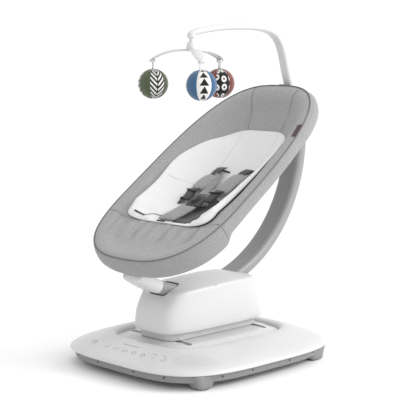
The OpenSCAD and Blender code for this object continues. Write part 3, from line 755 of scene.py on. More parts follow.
def make_controls():
    """Touch controls: generic rings, bars and dots along the front edge, and a level strip."""
    rings = [ring_mark(-108, -222, 6.5, 1.3, 120, 420), ring_mark(120, -222, 5.5, 1.2, 200, 480)]
    bars = [bar_mark(-108, -218, 5, 1.4, 90), bar_mark(-92, -213, 3, 1.2), bar_mark(-97, -230, 2.6, 1.2)]
    for k, (x, y) in enumerate(((-58, -227), (-27, -229), (4, -230), (32, -229), (60, -228))):
        rings.append(ring_mark(x, y, 5, 1.1, 200 - 35 * k, 360 + 30 * k))
        bars.append(bar_mark(x + 7, y + 3 - k, 3, 1.1, 30 * k))
    bars += [bar_mark(93, -228, 8, 1.2, 25), bar_mark(87, -216, 13, 1.2), bar_mark(113, -211, 13, 1.2),
             bar_mark(2, -210, 50, 1.5)]
    parts = rings + [decal("mark", outline) for outline in bars]
    dress(join("control_marks", parts), MATS["print_grey"], "base")


def make_speaker_grille():
    """Speaker grille: grey discs in staggered rows inside an oval, painted shade standing for its small sunk
    holes, which are not cut.
    """
    parts = []
    pitch = 4.2
    for row in range(-9, 10):
        for col in range(-14, 15):
            along, across = (col + 0.5 * (row % 2)) * pitch, row * pitch * 0.87
            fade = math.hypot(along / 54, across / 32)
            if fade > 1:
                continue
            x = 180 + 0.735 * along - 0.72 * across
            y = -182 + 0.68 * along + 0.69 * across
            if abs(x / BASE_HW) ** BASE_SQUARE + abs(y / BASE_HL) ** BASE_SQUARE > 0.76:
                continue
            r = 0.85 - 0.35 * fade
            z = base_height(x, y)
            parts.append([(x + p, y + q, z) for p, q in circle(r, 8)])
    verts, faces = [], []
    for outline in parts:
        first = len(verts)
        # Each disc stands a little proud of the cover and is painted shade of one sunk hole.
        verts += [(x, y, z + 0.22) for x, y, z in outline] + [(x, y, z - 0.8) for x, y, z in outline]
        faces.append(tuple(range(first, first + 8)))
        faces.append(tuple(range(first + 15, first + 7, -1)))
        for i in range(8):
            n = (i + 1) % 8
            faces.append((first + i, first + n, first + 8 + n, first + 8 + i))
    dimple_shade_discs = new_mesh("speaker_dimple_shades", verts, faces, 30)
    dress(dimple_shade_discs, MATS["print_grey"], "base")


# ---- neck and tower ----

def make_neck():
    rows = [(1.4, 70.3), (0.3, 70.3), (0, 71), (0, 127), (2.2, 127.6), (2.6, 120), (2.6, 72)]
    rings = [[(x, y, z) for x, y in round_bar(117.6 - 2 * inset, 284.4 - 2 * inset, 30 - inset, 12)]
             for inset, z in rows]
    neck = loft("neck_skin", rings, closed=True, sharp=50)
    dress(neck, MATS["white_shell"], "carriage", ["neck_cover"])


def tower_ring(w, l, square, z):
    """One level of the tower cover. Its top rises a little from front to back."""
    rise = smooth(100, 182, z)
    outline = squircle(w, l, square, 200)
    return [(x, y + 2, z + rise * (0.035 * y - 0.00015 * y * y)) for x, y in outline]


def make_tower():
    side = [(73, 158.6, 4.6, 88), (74, 159.4, 4.6, 88.3), (74.8, 160, 4.6, 91), (75, 160, 4.6, 98),
            (75, 159.6, 4.6, 108), (74.8, 158.2, 4.6, 119), (74.4, 155.6, 4.7, 131), (73.8, 151.4, 4.8, 143),
            (73, 146, 5, 154), (72, 139.6, 5.2, 164), (71, 134, 5.5, 172), (70.2, 130.8, 5.8, 177.5)]
    edge = [(69.5, 129.2, 5.8, 180.6), (68, 127, 5.8, 183), (65.6, 124, 5.6, 184.9), (62.6, 120.5, 5.2, 186.3)]
    top = [(56, 113, 4.6, 188.4), (47, 100, 4, 191), (37, 83, 3.5, 193.8), (26, 61, 3.1, 196.4),
           (15, 36, 2.8, 198.2), (6, 14, 2.5, 199)]
    outer = [tower_ring(*row) for row in side + edge + top]
    inner = [tower_ring(max(w - 3, 2), max(l - 3, 4), sq, z - (0 if z < 160 else 3)) for w, l, sq, z in
             reversed(side[1:] + edge + top)]
    tower = loft("tower_skin", inner + outer)
    front = [arc_point(a, ARC_R) for a in (-36, -32, -28, -24, -20, -16, FRONT_LIP)]
    cut(tower, sweep("channel", front, round_bar(65, 35, 16, 8)), 28)
    rear = [arc_point(a, ARC_R) for a in (REAR_LIP, 24, 28, 32, 36, 41)]
    cut(tower, sweep("channel", rear, round_bar(62, 32, 15, 8)), 28)
    hole = loft("knob_hole", [[(KNOB_X + p, y, KNOB_Z + q) for p, q in circle(5, 24)]
                              for y in (125, 175)])
    cut(tower, hole, 28)
    dress(tower, MATS["white_shell"], "tower", ["tower_cover"])
    sensor = small_dome("tower_sensor", (67.5, -12, 182), (0.75, 0, 0.66), 1.6)
    dress(sensor, MATS["dark_plastic"], "tower")


def small_dome(name, centre, out, radius):
    """A tiny rounded button that stands out of a surface."""
    out = Vector(out).normalized()
    side = out.orthogonal().normalized()
    up = out.cross(side)
    rings = [[tuple(Vector(centre) + out * (radius * h) + side * p + up * q)
              for p, q in circle(radius * r, 12)]
             for r, h in ((1.0, -1.0), (1.0, 0.25), (0.8, 0.55), (0.4, 0.75))]
    return loft(name, rings)


# ---- arc tube ----

def arc_point(angle, radius, x=0.0):
    a = math.radians(angle)
    return (x, ARC_Y + radius * math.sin(a), ARC_Z - radius * math.cos(a))


def arc_skin(name, start, end, grow=0.0):
    """A length of the curved tube: a flat oval section with slightly softened ends."""
    softened = 1.2
    steps = max(6, int(abs(end - start) / 1.5))
    section = round_bar(60 + grow, 30 + grow, 14.2, 10)
    tip = math.degrees(softened / ARC_R)
    rings = [(start, 0.93), (start + tip * 0.4, 0.975), (start + tip, 1.0)]
    rings += [(start + (end - start) * i / steps, 1.0) for i in range(1, steps)]
    rings += [(end - tip, 1.0), (end - tip * 0.4, 0.975), (end, 0.93)]
    shaped = []
    for angle, k in rings:
        a = math.radians(angle)
        up = Vector((0, -math.sin(a), math.cos(a)))
        centre = Vector(arc_point(angle, ARC_R))
        shaped.append([tuple(centre + Vector((p * k, 0, 0)) + up * (q * k)) for p, q in section])
    return loft(name, shaped, sharp=40)


def make_arc_tube():
    rear = arc_skin("arc_tube_rear_skin", TUBE_JOINT, TUBE_REAR)
    dress(rear, MATS["arc_finish"], "seat", ["arc_tube_rear"])
    front = arc_skin("arc_tube_front_skin", TUBE_FRONT, TUBE_JOINT, 1.4)
    dress(front, MATS["white_sleeve"], "seat", ["arc_tube_front"])


# ---- mobile ----

def tube_end():
    end = Vector(arc_point(TUBE_REAR, ARC_R))
    a = math.radians(TUBE_REAR)
    return end, Vector((0, math.cos(a), math.sin(a)))


def make_mobile_arm():
    end, along = tube_end()
    start = end + along * 3.4
    path = [bezier((start.y, start.z), (272, 700), (296, 758), (186, 763), i / 30) for i in range(31)]
    path += [bezier((186, 763), (120, 766), (30, 762), (HUB_Y - 8, 745), i / 44) for i in range(1, 45)]
    rings = []
    last = len(path) - 1
    for i, (y, z) in enumerate(path):
        before, after = path[max(i - 1, 0)], path[min(i + 1, last)]
        size = math.hypot(after[0] - before[0], after[1] - before[1])
        up = (-(after[1] - before[1]) / size, (after[0] - before[0]) / size)
        nose = math.sqrt(1 - max(0, 1 - (last - i) / 6) ** 2 * 0.97)
        width = (26 - 7 * smooth(0.3, 0.95, i / last)) * nose
        height = (15.5 - 1.5 * smooth(0.2, 0.95, i / last)) * (0.55 + 0.45 * nose)
        rings.append([(a, y + up[0] * b, z + up[1] * b)
                      for a, b in round_bar(width, height, 0.42 * min(width, height), 6)])
    arm = loft("mobile_arm_bar", rings, sharp=40)
    cross = along.cross(Vector((1, 0, 0)))
    collar_rows = ((2.3, 9), (2.3, 10), (3.2, 10.6), (6, 10.4), (9, 9.6), (10, 8))
    collar = loft("collar", [[tuple(end + along * h + Vector((1.5 * p, 0, 0)) + cross * q)
                              for p, q in circle(r, 48)] for h, r in collar_rows], sharp=45)
    hub_rows = ((4, 737), (9, 737.1), (9.8, 738), (10, 741), (9.4, 746))
    hub = loft("hub", [[(p, HUB_Y + q, z) for p, q in circle(r, 48)] for r, z in hub_rows], sharp=50)
    plug = loft("plug", [[tuple(end + along * h + Vector((p, 0, 0)) + cross * q) for p, q in circle(8, 32)]
                         for h in (-26, 3)], sharp=40)
    dress(join("mobile_arm_skin", [arm, collar, hub, plug]), MATS["white_shell"], "mobile_arm",
          ["mobile_arm"])


def spider_blade(turn):
    """One paddle-shaped blade: thin, drooping at its sides, with a rounded end over its ball."""
    hub = Vector((0, HUB_Y, 0))
    rings = []
    for i in range(27):
        t = i / 26
        r, z = bezier((4, 713), (45, 714), (76, 706), (99, 687), t)
        tip = math.sqrt(1 - max(0, (t - 0.9) / 0.1) ** 2 * 0.9)
        half = bezier((4, 9), (45, 10), (80, 22), (99, 6), t)[1] * tip
        thick = 4.6 - 2.2 * t
        row = []
        for k in range(9):
            across = -1 + k / 4
            row.append((across, 1 - 0.8 * max(0, abs(across) - 0.75) / 0.25))
        upper = [(r, half * a, z - 2.2 * a * a - thick * 0.5 * (1 - b)) for a, b in row]
        lower = [(r, half * a, z - 2.2 * a * a - thick * (0.5 + 0.5 * b)) for a, b in reversed(row)]
        rings.append([tuple(hub + turn @ Vector(p)) for p in upper + lower])
    return loft("blade", rings, sharp=50)


def make_spider():
    cone = [(3, 709.6), (9, 709.8), (11.6, 711), (12, 713), (11, 719), (9.8, 725), (9.2, 727), (7, 727.8),
            (5, 728), (5, 736.6), (2.4, 736.7)]
    parts = [loft("boss", [[(p, HUB_Y + q, z) for p, q in circle(r, 48)] for r, z in cone], sharp=45)]
    hub = Vector((0, HUB_Y, 0))
    for angle in (90, 210, 330):
        turn = Matrix.Rotation(math.radians(angle), 4, "Z")
        parts.append(spider_blade(turn))
        pin = [[tuple(hub + turn @ Vector((BALL_ORBIT + p, y, HANG_Z + q))) for p, q in circle(1.5, 16)]
               for y in (-7, 7)]
        parts.append(loft("pin", pin, sharp=40))
        for s in (-1, 1):
            cheek = [[tuple(hub + turn @ Vector((BALL_ORBIT + p, s * 6 + dy, HANG_Z + 1.6 + q))) for p, q in
                      round_bar(6.4, 8.4, 3, 4)] for dy in (-0.9, 0.9)]
            parts.append(loft("cheek", cheek, sharp=40))
    dress(join("mobile_spider_skin", parts), MATS["white_shell"], "mobile_spider",
          ["mobile_spider"])


def make_ball(name, angle, plain, print_name, turn):
    """A stuffed ball sewn from six panels, plain and printed by turns, on a short strap."""
    a = math.radians(angle)
    centre = Vector((BALL_ORBIT * math.cos(a), HUB_Y + BALL_ORBIT * math.sin(a), BALL_Z))
    segments, rows, panels = 96, 40, 6
    per_panel = segments // panels
    verts, faces, owners, corners = [], [], [], []
    for i in range(rows + 1):
        lat = math.pi * (i / rows) - math.pi / 2
        for j in range(segments):
            lon = TAU * j / segments
            near = (j % per_panel) / per_panel
            near = min(near, 1 - near)
            groove = math.exp(-(near / 0.07) ** 2) * math.cos(lat) ** 0.5 if abs(lat) < 1.56 else 0
            swell = 1 + 0.012 * math.sin(math.pi * near * 2) * math.cos(lat)
            swell += 0.006 * ripple(lon * 20, lat * 20, 18)
            r = BALL_R * 0.985 * swell * (1 - 0.028 * groove) * (1 - 0.05 * smooth(1.35, 1.57, abs(lat)))
            flat = r * math.cos(lat)
            verts.append(tuple(centre + Vector((flat * math.cos(lon + turn), flat * math.sin(lon + turn),
                                                r * math.sin(lat)))))
    for i in range(rows):
        for j in range(segments):
            n = (j + 1) % segments
            faces.append((i * segments + j, i * segments + n, (i + 1) * segments + n, (i + 1) * segments + j))
            owners.append(j // per_panel % 2)
            u0 = (j % per_panel) / per_panel
            u1 = u0 + panels / segments
            corners += [(u0, i / rows), (u1, i / rows), (u1, (i + 1) / rows), (u0, (i + 1) / rows)]
    mesh = bpy.data.meshes.new(name)
    mesh.from_pydata([[c * MM for c in v] for v in verts], [], faces)
    layer = mesh.uv_layers.new(name="UVMap")
    layer.data.foreach_set("uv", [c for pair in corners for c in pair])
    mesh.materials.append(MATS[plain])
    mesh.materials.append(MATS[print_name])
    mesh.polygons.foreach_set("material_index", owners)
    ball = bpy.data.objects.new(name, mesh)
    bpy.context.scene.collection.objects.link(ball)
    tidy_mesh(ball)
    radial = Vector((math.cos(a), math.sin(a), 0))
    across = Vector((-math.sin(a), math.cos(a), 0))
    top = BALL_Z + BALL_R
    pin = centre.copy()
    pin.z = HANG_Z
    path = [pin + radial * (2.6 * math.cos(math.radians(t))) + Vector((0, 0, 2.6 * math.sin(math.radians(t))))
            for t in range(250, -71, -20)]
    path = [Vector((centre.x, centre.y, top - 2.5)) - radial * 1.4] + path + \
        [Vector((centre.x, centre.y, top - 2.5)) + radial * 1.4]
    strap = sweep("strap", [tuple(p) for p in path], round_bar(8, 1.1, 0.5, 3), side=tuple(across), sharp=50)
    strap.data.materials.append(MATS["white_fabric"])
    piece = join(name + "_skin", [ball, strap])
    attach(piece, name)
    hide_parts(name)


def make_knob():
    """Lobed recline knob with a domed face, on its shaft."""
    rows = ((156.2, 0.5), (159, 0.55), (159.2, 0.94), (160.4, 1.0), (166, 1.0), (170, 0.97), (171.6, 0.88),
            (171.2, 0.6), (170.4, 0.3))
    rings = []
    for y, share in rows:
        ring = []
        for i in range(144):
            a = TAU * i / 144
            r = (17.6 + 2.2 * math.cos(6 * a)) * share
            ring.append((KNOB_X + r * math.cos(a), y, KNOB_Z + r * math.sin(a)))
        rings.append(ring)
    knob = loft("knob", rings, sharp=45)
    shaft = loft("shaft", [[(KNOB_X + p, y, KNOB_Z + q) for p, q in circle(4, 32)]
                           for y in (112, 157)], sharp=40)
    dress(join("recline_knob_skin", [knob, shaft]), MATS["grey_plastic"], "recline_knob",
          ["recline_knob"])


# ---- seat: everything here is drawn in the seat's own frame, (x across, u from foot to head, n out) ----

def seat_to_world(x, u, n):
    return (x, SEAT_Y + u * math.cos(TILT) - n * math.sin(TILT),
            SEAT_Z + u * math.sin(TILT) + n * math.cos(TILT))


def rim_half_width(u):
    reach = (u - SEAT_MID) / (SEAT_HEAD if u > SEAT_MID else SEAT_FOOT)
    power = 3 if u > SEAT_MID else 2.75
    return SEAT_HW * max(0, 1 - abs(reach) ** power) ** (1 / power)


def rim_rise(u):
    """The hoop sags a little between its two ends."""
    return -6 * max(0, 1 - (u / 312) ** 2)


def rim_outline(count):
    """Evenly spaced (x, u) points round the rim, from the middle of the right side towards the head."""
    dense = []
    for i in range(count * 8):
        t = TAU * i / (count * 8)
        power = 3 if math.sin(t) > 0 else 2.75
        length = SEAT_HEAD if math.sin(t) > 0 else SEAT_FOOT
        dense.append((SEAT_HW * spow(math.cos(t), 2 / power),
                      SEAT_MID + length * spow(math.sin(t), 2 / power)))
    return even_points(dense, count)


def outward(loop):
    """Unit vectors that point out of a closed (x, u) loop, one at each point."""
    count = len(loop)
    found = []
    for i in range(count):
        dx = loop[(i + 1) % count][0] - loop[i - 1][0]
        du = loop[(i + 1) % count][1] - loop[i - 1][1]
        size = math.hypot(dx, du)
        found.append((du / size, -dx / size))
    return found


HOLLOW = curve_through([(-286, 0.02), (-230, 0.08), (-170, 0.16), (-130, 0.38), (-90, 0.56), (-50, 0.68),
                        (0, 0.79), (64, 0.86), (110, 0.82), (150, 0.72), (200, 0.52), (250, 0.26),
                        (286, 0.03)])
HEAD_SEAMS = [((sx * 72, 308), (sx * 53, 196)) for sx in (-1, 1)]
FOOT_SEAMS = [((sx * 190, -166), (sx * 128, -172)) for sx in (-1, 1)]


def line_distance(x, u, line):
    (ax, au), (bx, bu) = line
    dx, du = bx - ax, bu - au
    t = min(1, max(0, ((x - ax) * dx + (u - au) * du) / (dx * dx + du * du)))
    return math.hypot(x - ax - t * dx, u - au - t * du)


def hollow(x, u):
    """Height of the sling over the plane of the rim, without its folds."""
    wide = 0.87 * max(rim_half_width(u), 1)
    power = 1.8 + 3.2 * smooth(-120, -172, u) + 1.4 * smooth(120, 205, u)
    return -3 - SEAT_DEPTH * HOLLOW(u) * (1 - min(1, abs(x) / wide) ** power)


def folds(x, u):
    """Pulled folds of the foot panel, soft creases at the head and the cloth's own unevenness."""
    height = 0.7 * ripple(x, u, 60, 2)
    for i in range(11):
        line_x = -150 + 29 * i + 9 * math.sin(4.1 * i)
        reach = 40 + 26 * (0.5 + 0.5 * math.sin(2.3 * i + 1))
        start = -176 - 6 * (i % 3)
        along = smooth(start + 8, start - 12, u) * smooth(start - reach - 26, start - reach + 12, u)
        slant = (x - line_x - 0.1 * (start - u)) / (6.5 + 2 * (i % 3))
        height += 5.5 * along * (math.exp(-slant ** 2) - 0.55 * math.exp(-(slant - 1.9) ** 2))
    for side in (-1, 1):
        for i in range(4):
            away = (abs(x) - 92 - 13 * i + 0.28 * (u - 190)) / 7
            height += 3.5 * math.exp(-away ** 2) * smooth(150, 185, u) * smooth(265, 225, u) * (x * side > 0)
    for line in HEAD_SEAMS + FOOT_SEAMS:
        gap = line_distance(x, u, line)
        height += 1.2 * math.exp(-((gap - 6) / 4) ** 2) - 2.4 * math.exp(-(gap / 2.6) ** 2)
    return height


def sling_height(x, u, s):
    """s runs from 0 at the middle to 1 at the piping. Near 1 the cloth goes over the padded hoop."""
    base = hollow(x, u) + folds(x, u) * (1 - smooth(0.93, 0.99, s))
    crown = rim_rise(u) + 1.6 * math.sin(math.pi * min(1, max(0, (1 - s) / 0.11)))
    return base + (crown - base) * smooth(0.82, 0.965, s)


def ring_point(rim, s):
    return rim[0] * s, SLING_MID + (rim[1] - SLING_MID) * s


def make_sling():
    rim = rim_outline(420)
    steps = [0.012] + [i / 70 for i in range(1, 66)] + [0.94, 0.95, 0.96, 0.968, 0.976, 0.984, 0.992]
    top, under = [], []
    for s in steps:
        row = [ring_point(p, s) for p in rim]
        heights = [sling_height(x, u, s) for x, u in row]
        top.append([seat_to_world(x, u, h) for (x, u), h in zip(row, heights)])
        thick = 2 * smooth(0.6, 0.2, s)
        under.append([seat_to_world(x, u, h - 2.4 - thick) for (x, u), h in zip(row, heights)])
    sling = loft("seat_sling_skin", under + top[::-1])
    dress(sling, MATS["grey_fabric"], "seat", ["seat_sling"])


BAND_DEEP = curve_through([(-312, 54), (-230, 57), (-176, 55), (-150, 38), (-60, 33), (100, 34), (220, 44),
                           (312, 48)])


def band_section(u):
    """(outwards, down) points of the padded rim's section, from the piping round and back."""
    deep = BAND_DEEP(u)
    bulge = 5 + 5.5 * smooth(120, 250, u) * smooth(308, 288, u) + 2.5 * smooth(-150, -250, u)
    outer = [(0.0, 0.0), (1.4, -1.6), (2.8, -4.2), (bulge * 0.72, -8), (bulge * 0.94, -0.32 * deep),
             (bulge, -0.5 * deep), (bulge * 0.8, -0.68 * deep), (bulge * 0.3, -0.84 * deep),
             (-2.5, -0.94 * deep), (-7, -0.99 * deep)]
    under = [(-13, -deep), (-19, -0.985 * deep), (-23, -0.93 * deep), (-25.2, -0.84 * deep),
             (-26, -0.7 * deep)]
    inner = [(-26, -0.45 * deep), (-25, -0.25 * deep), (-22, -4), (-16, -1.8), (-8, -1.2), (-3, -0.8)]
    return outer + under + inner


def band_point(rim, out, u_here, offset, down, k):
    wave = 0.6 * ripple(k * 3.0, down, 30, 6)
    x = rim[0] + out[0] * (offset + wave)
    u = rim[1] + out[1] * (offset + wave)
    return seat_to_world(x, u, rim_rise(u_here) + down)


def make_band():
    """The padded rim: cloth over foam round the hoop, with its side seams and its deeper foot pocket."""
    count = 440
    rim = rim_outline(count)
    out = outward(rim)
    rings = []
    for k in range(count):
        u = rim[k][1]
        ring = []
        for offset, down in band_section(u):
            near = math.exp(-((u - SIDE_SEAM_U) / 2.2) ** 2) if down < -1 else 0
            ring.append(band_point(rim[k], out[k], u, offset - (1.3 * near if offset > -8 else 0), down, k))
        rings.append(ring)
    band = loft("side_band_skin", rings, closed=True)
    dress(band, MATS["band_fabric"], "seat", ["side_band"])
    subdivide(band)
    cord = sweep("rim_piping", [seat_to_world(x, u, rim_rise(u) + 0.6) for x, u in rim],
                 circle(1.2, 10),
                 side=tuple(Vector(seat_to_world(0, 0, 1)) - Vector(seat_to_world(0, 0, 0))), closed=True)
    seams = [cord]
    for side in (-1, 1):
        on_side = [i for i in range(count) if rim[i][0] * side > 0]
        k = min(on_side, key=lambda i: abs(rim[i][1] - SIDE_SEAM_U))
        path = [band_point(rim[k], out[k], SIDE_SEAM_U, offset - 0.6, down, k)
                for offset, down in band_section(SIDE_SEAM_U)[:10]]
        seams.append(sweep("band_seam", path, round_bar(1.4, 1.0, 0.45, 3), side=(0, 1, 0)))
    dress(join("rim_piping_cord", seams), MATS["stitching"], "seat")


def seam_cords():
    """Stitched seam lines that lie on the sling."""
    parts = []
    for (ax, au), (bx, bu) in HEAD_SEAMS + FOOT_SEAMS:
        path = []
        for i in range(25):
            t = i / 24
            x, u = ax + (bx - ax) * t, au + (bu - au) * t
            s = share_of_rim(x, u)
            if s > 0.985:
                continue
            path.append(seat_to_world(x, u, sling_height(x, u, s) + 0.25))
        flat = (1, 0, 0) if abs(bu - au) > 50 else (0, 1, 0)
        parts.append(sweep("seam", path, round_bar(1.5, 1.0, 0.45, 3), side=flat))
    dress(join("sling_seams", parts), MATS["stitching"], "seat")


def share_of_rim(x, u):
    """How far out from the sling's middle a point lies, from 0 to 1 at the piping."""
    low, high = 0.0, 1.2
    for _ in range(30):
        mid = (low + high) / 2
        pu = SLING_MID + (u - SLING_MID) / mid
        if SEAT_MID - SEAT_FOOT < pu < SEAT_MID + SEAT_HEAD and abs(x / mid) < rim_half_width(pu):
            high = mid
        else:
            low = mid
    return high


# ---- the white liner ----

LINER_MID = 15
LINER_HL = 188
LINER_CREASES = [((-58, 70), (-58, 200)), ((58, 70), (58, 196)),
                 ((-132, -20), (-52, 6)), ((132, -20), (52, 6))]
LINER_STITCHES = [((-58, 72), (-58, 188)), ((58, 72), (58, 186)),
                  ((-128, -20), (-56, 6)), ((128, -20), (56, 6))]


def liner_outline(count):
    dense = []
    for i in range(count * 8):
        t = TAU * i / (count * 8)
        head = math.sin(t) > 0
        u = LINER_MID + LINER_HL * spow(math.sin(t), 0.62 if head else 0.2)
        wide = 136 - 0.1 * max(0, u - LINER_MID) - 6 * smooth(100, 190, u)
        wide += 9 * math.exp(-((u - 50) / 65) ** 2)
        dense.append((wide * spow(math.cos(t), 0.5 if head else 0.2), u))
    return even_points(dense, count)


def cutout(x, u):
    """1 inside the opening for the crotch strap, 0 outside, with a soft edge."""
    spread_out = smooth(-70, -163, u)
    end = -62 + 0.004 * (2500 - x * x) - u
    return smooth(-2, 5, min(x + 38 + 18 * spread_out, 56 + 26 * spread_out - x, end))


def liner_rise(x, u, s):
    """Height of the liner's face over the sling."""
    edge = (1 - max(0, (s - 0.9) / 0.1) ** 2.2) if s > 0.9 else 1
    side = smooth(80, 118, abs(x)) * smooth(70, -40, u)
    roll = 7 * math.exp(-((s - 0.9) / 0.09) ** 2) * side
    soft = 0.8 * ripple(x, u, 45, 21)
    for line in LINER_CREASES:
        soft -= 1.1 * math.exp(-(line_distance(x, u, line) / 1.8) ** 2)
    return 2.5 + 7 * edge + roll + soft * edge - 5.5 * cutout(x, u) * edge


def make_liner():
    outline = liner_outline(360)
    steps = [0.015] + [i / 80 for i in range(1, 73)]
    steps += [0.915, 0.93, 0.945, 0.957, 0.968, 0.978, 0.986, 0.993, 1.0]
    top, under = [], []
    for s in steps:
        row = [(p[0] * s, LINER_MID + (p[1] - LINER_MID) * s) for p in outline]
        top.append([seat_to_world(x, u, liner_face(x, u, s)) for x, u in row])
        under.append([seat_to_world(x, u, liner_base(x, u) + 1.5) for x, u in row])
    liner = loft("insert_liner_skin", under + top[::-1])
    dress(liner, MATS["white_fabric"], "seat", ["insert_liner"])
    # A dark cloth strip just inside the liner's edge: painted shadow under the raised edge, not a real gusset.
    border = [(p[0] * 0.975, LINER_MID + (p[1] - LINER_MID) * 0.985) for p in outline]
    low = [seat_to_world(x, u, liner_base(x, u) - 4) for x, u in border]
    high = [seat_to_world(x, u, liner_base(x, u) + 2.5) for x, u in border]
    dress(loft("liner_edge_shadow_strip", [low, high], caps=False), MATS["dark_fabric"], "seat")


def liner_base(x, u):
    """The liner bridges the sling's hollow near its sides, so its edge stands a little proud."""
    return hollow(x, u) + 3.5 * smooth(60, 125, abs(x)) * smooth(150, 40, u)


def liner_face(x, u, s):
    return liner_base(x, u) + liner_rise(x, u, s)


def share_of_liner(x, u):
    """About how far out in the liner a point lies."""
    return min(1, max(abs(x) / 134, abs(u - LINER_MID) / LINER_HL))


def on_liner(x, u, lift):
    return seat_to_world(x, u, liner_face(x, u, share_of_liner(x, u)) + lift)


def surface_patch(name, outline, lift, thick, rows=24):
    """A thin piece of cloth that lies on the liner inside a closed (x, u) outline."""
    mid = np.mean(np.array(outline), axis=0)
    loop = even_points(outline, 160)
    top, low = [], []
    for i in range(rows + 1):
        s = max(0.02, i / rows)
        row = [(mid[0] + (x - mid[0]) * s, mid[1] + (u - mid[1]) * s) for x, u in loop]
        top.append([on_liner(x, u, lift + thick * (1 - 0.8 * smooth(0.93, 1, s))) for x, u in row])
        low.append([on_liner(x, u, lift - 1.2) for x, u in row])
    return loft(name, low + top[::-1])


def make_crotch_panel():
    """The dark panel that shows beside the crotch pad, and a dark cord along the opening's left edge."""
    right = [(56 + 26 * smooth(-70, -163, u), u) for u in (-60, -75, -90, -105, -120, -135, -150, -162)]
    left = [(-8, -162), (-10, -130), (-10, -90), (-8, -62)]
    top = [(10, -56), (30, -56), (46, -57)]
    panel = surface_patch("crotch_panel", right + left + top, 0.2, 1.4)
    dress(panel, MATS["dark_fabric"], "seat")
    edge = [(-34 - 44 * smooth(-118, -172, u), u) for u in range(-164, -60, 4)]
    cord = sweep("cutout_edge", [on_liner(x, u, 1.6) for x, u in edge], round_bar(1.8, 1.4, 0.6, 3))
    dress(cord, MATS["stitching"], "seat")


def slot_mark(x, u, length, width, turn):
    a = math.radians(turn)
    pts = [(x + p * math.cos(a) - q * math.sin(a), u + p * math.sin(a) + q * math.cos(a))
           for p, q in round_bar(length, width, width * 0.45, 4)]
    return surface_patch("slot", pts, 0.8, 0.5, 6)


def make_liner_details():
    # Dark patches for the strap slots: at the three low slots, painted shade of empty slits; at the two
    # shoulder slots, partly the strap that goes in and partly painted shade.
    slots = [slot_mark(-90, -158, 30, 5, -4), slot_mark(44, -164, 42, 4, 2), slot_mark(-14, -168, 26, 5, 0)]
    slots += [slot_mark(sx * 43, 74, 36, 5, 0) for sx in (-1, 1)]
    dress(join("strap_slot_shade_patches", slots), MATS["webbing"], "seat")
    lines = []
    for a, b in LINER_STITCHES:
        path = [on_liner(a[0] + (b[0] - a[0]) * i / 30, a[1] + (b[1] - a[1]) * i / 30, 0.1)
                for i in range(31)]
        flat = (1, 0, 0) if a[0] == b[0] else (0, 1, 0)
        lines.append(sweep("stitch", path, round_bar(0.9, 0.7, 0.3, 3), side=flat))
    dress(join("liner_stitching", lines), MATS["white_stitching"], "seat")


# ---- harness ----

def ribbon(name, knots, width, thick, turns=None):
    """A flat strap through seat-frame knots (x, u, n). turns gives its roll in degrees along the way."""
    steps = 40
    last = len(knots) - 1
    routes = [curve_through([(i, knot[axis]) for i, knot in enumerate(knots)]) for axis in range(3)]
    path = [seat_to_world(*(route(last * i / steps) for route in routes)) for i in range(steps + 1)]
    roll = curve_through(turns) if turns else (lambda t: 0.0)

    def side(i):
        a, b = knots[0], knots[-1]
        along = Vector((b[0] - a[0], b[1] - a[1], 0)).normalized()
        across = Vector((along.y, -along.x, 0))
        r = math.radians(roll(i / steps))
        flat = across * math.cos(r) + Vector((0, 0, 1)) * math.sin(r)
        return Vector(seat_to_world(*flat)) - Vector(seat_to_world(0, 0, 0))

    return sweep(name, path, round_bar(width, thick, thick * 0.48, 4), side=side, sharp=50)


def pad_form(name, a, b, width, thick, taper=0.0, bow=0.0, corner=0.35):
    """A soft, crowned pad from a to b in the seat frame, ready to be puffed."""
    start, end = Vector(a), Vector(b)
    along = (end - start).normalized()
    across = Vector((along.y, -along.x, 0)).normalized()
    normal = across.cross(along).normalized()
    if normal.z < 0:
        normal = -normal
    length = (end - start).length
    rings = []
    rows = 30
    for i in range(rows + 1):
        t = i / rows
        e = min(t, 1 - t) * length
        r = corner * width
        inset = 0 if e > r else r - math.sqrt(max(0, r * r - (r - e) ** 2))
        half = max(1.0, width / 2 * (1 - taper * (0.5 - t)) - inset)
        high = thick / 2 * min(1, 0.35 + (e / (0.4 * width)) ** 0.7)
        centre = start + along * (t * length) + normal * (bow * math.sin(math.pi * t))
        ring = []
        for c, s in circle(1, 32):
            spot = centre + across * (half * spow(c, 0.55)) + normal * (high * spow(s, 0.8))
            ring.append(seat_to_world(*spot))
        rings.append(ring)
    return loft(name, rings)


def puff(obj, limit):
    """Swells a pad with Blender's cloth, then keeps the result. Each point may move limit millimetres."""
    voxel = 3.5
    pressure = 4.0
    remesh = obj.modifiers.new("remesh", "REMESH")
    remesh.mode = "VOXEL"
    remesh.voxel_size = voxel * MM
    apply_modifiers(obj)
    rest = np.array([v.co[:] for v in obj.data.vertices])
    cloth = obj.modifiers.new("cloth", "CLOTH")
    cloth.settings.use_pressure = True
    cloth.settings.uniform_pressure_force = pressure
    cloth.settings.effector_weights.gravity = 0
    cloth.point_cache.frame_start = 1
    cloth.point_cache.frame_end = 20
    scene = bpy.context.scene
    for step in range(1, 21):
        scene.frame_set(step)
    bpy.context.view_layer.update()
    shown = obj.evaluated_get(bpy.context.evaluated_depsgraph_get())
    moved = np.array([v.co[:] for v in shown.data.vertices]) - rest
    size = np.linalg.norm(moved, axis=1, keepdims=True)
    moved *= np.minimum(1, limit * MM / np.maximum(size, 1e-9))
    obj.modifiers.clear()
    obj.data.vertices.foreach_set("co", (rest + moved).ravel())
    obj.data.update()
    scene.frame_set(1)
    subdivide(obj)


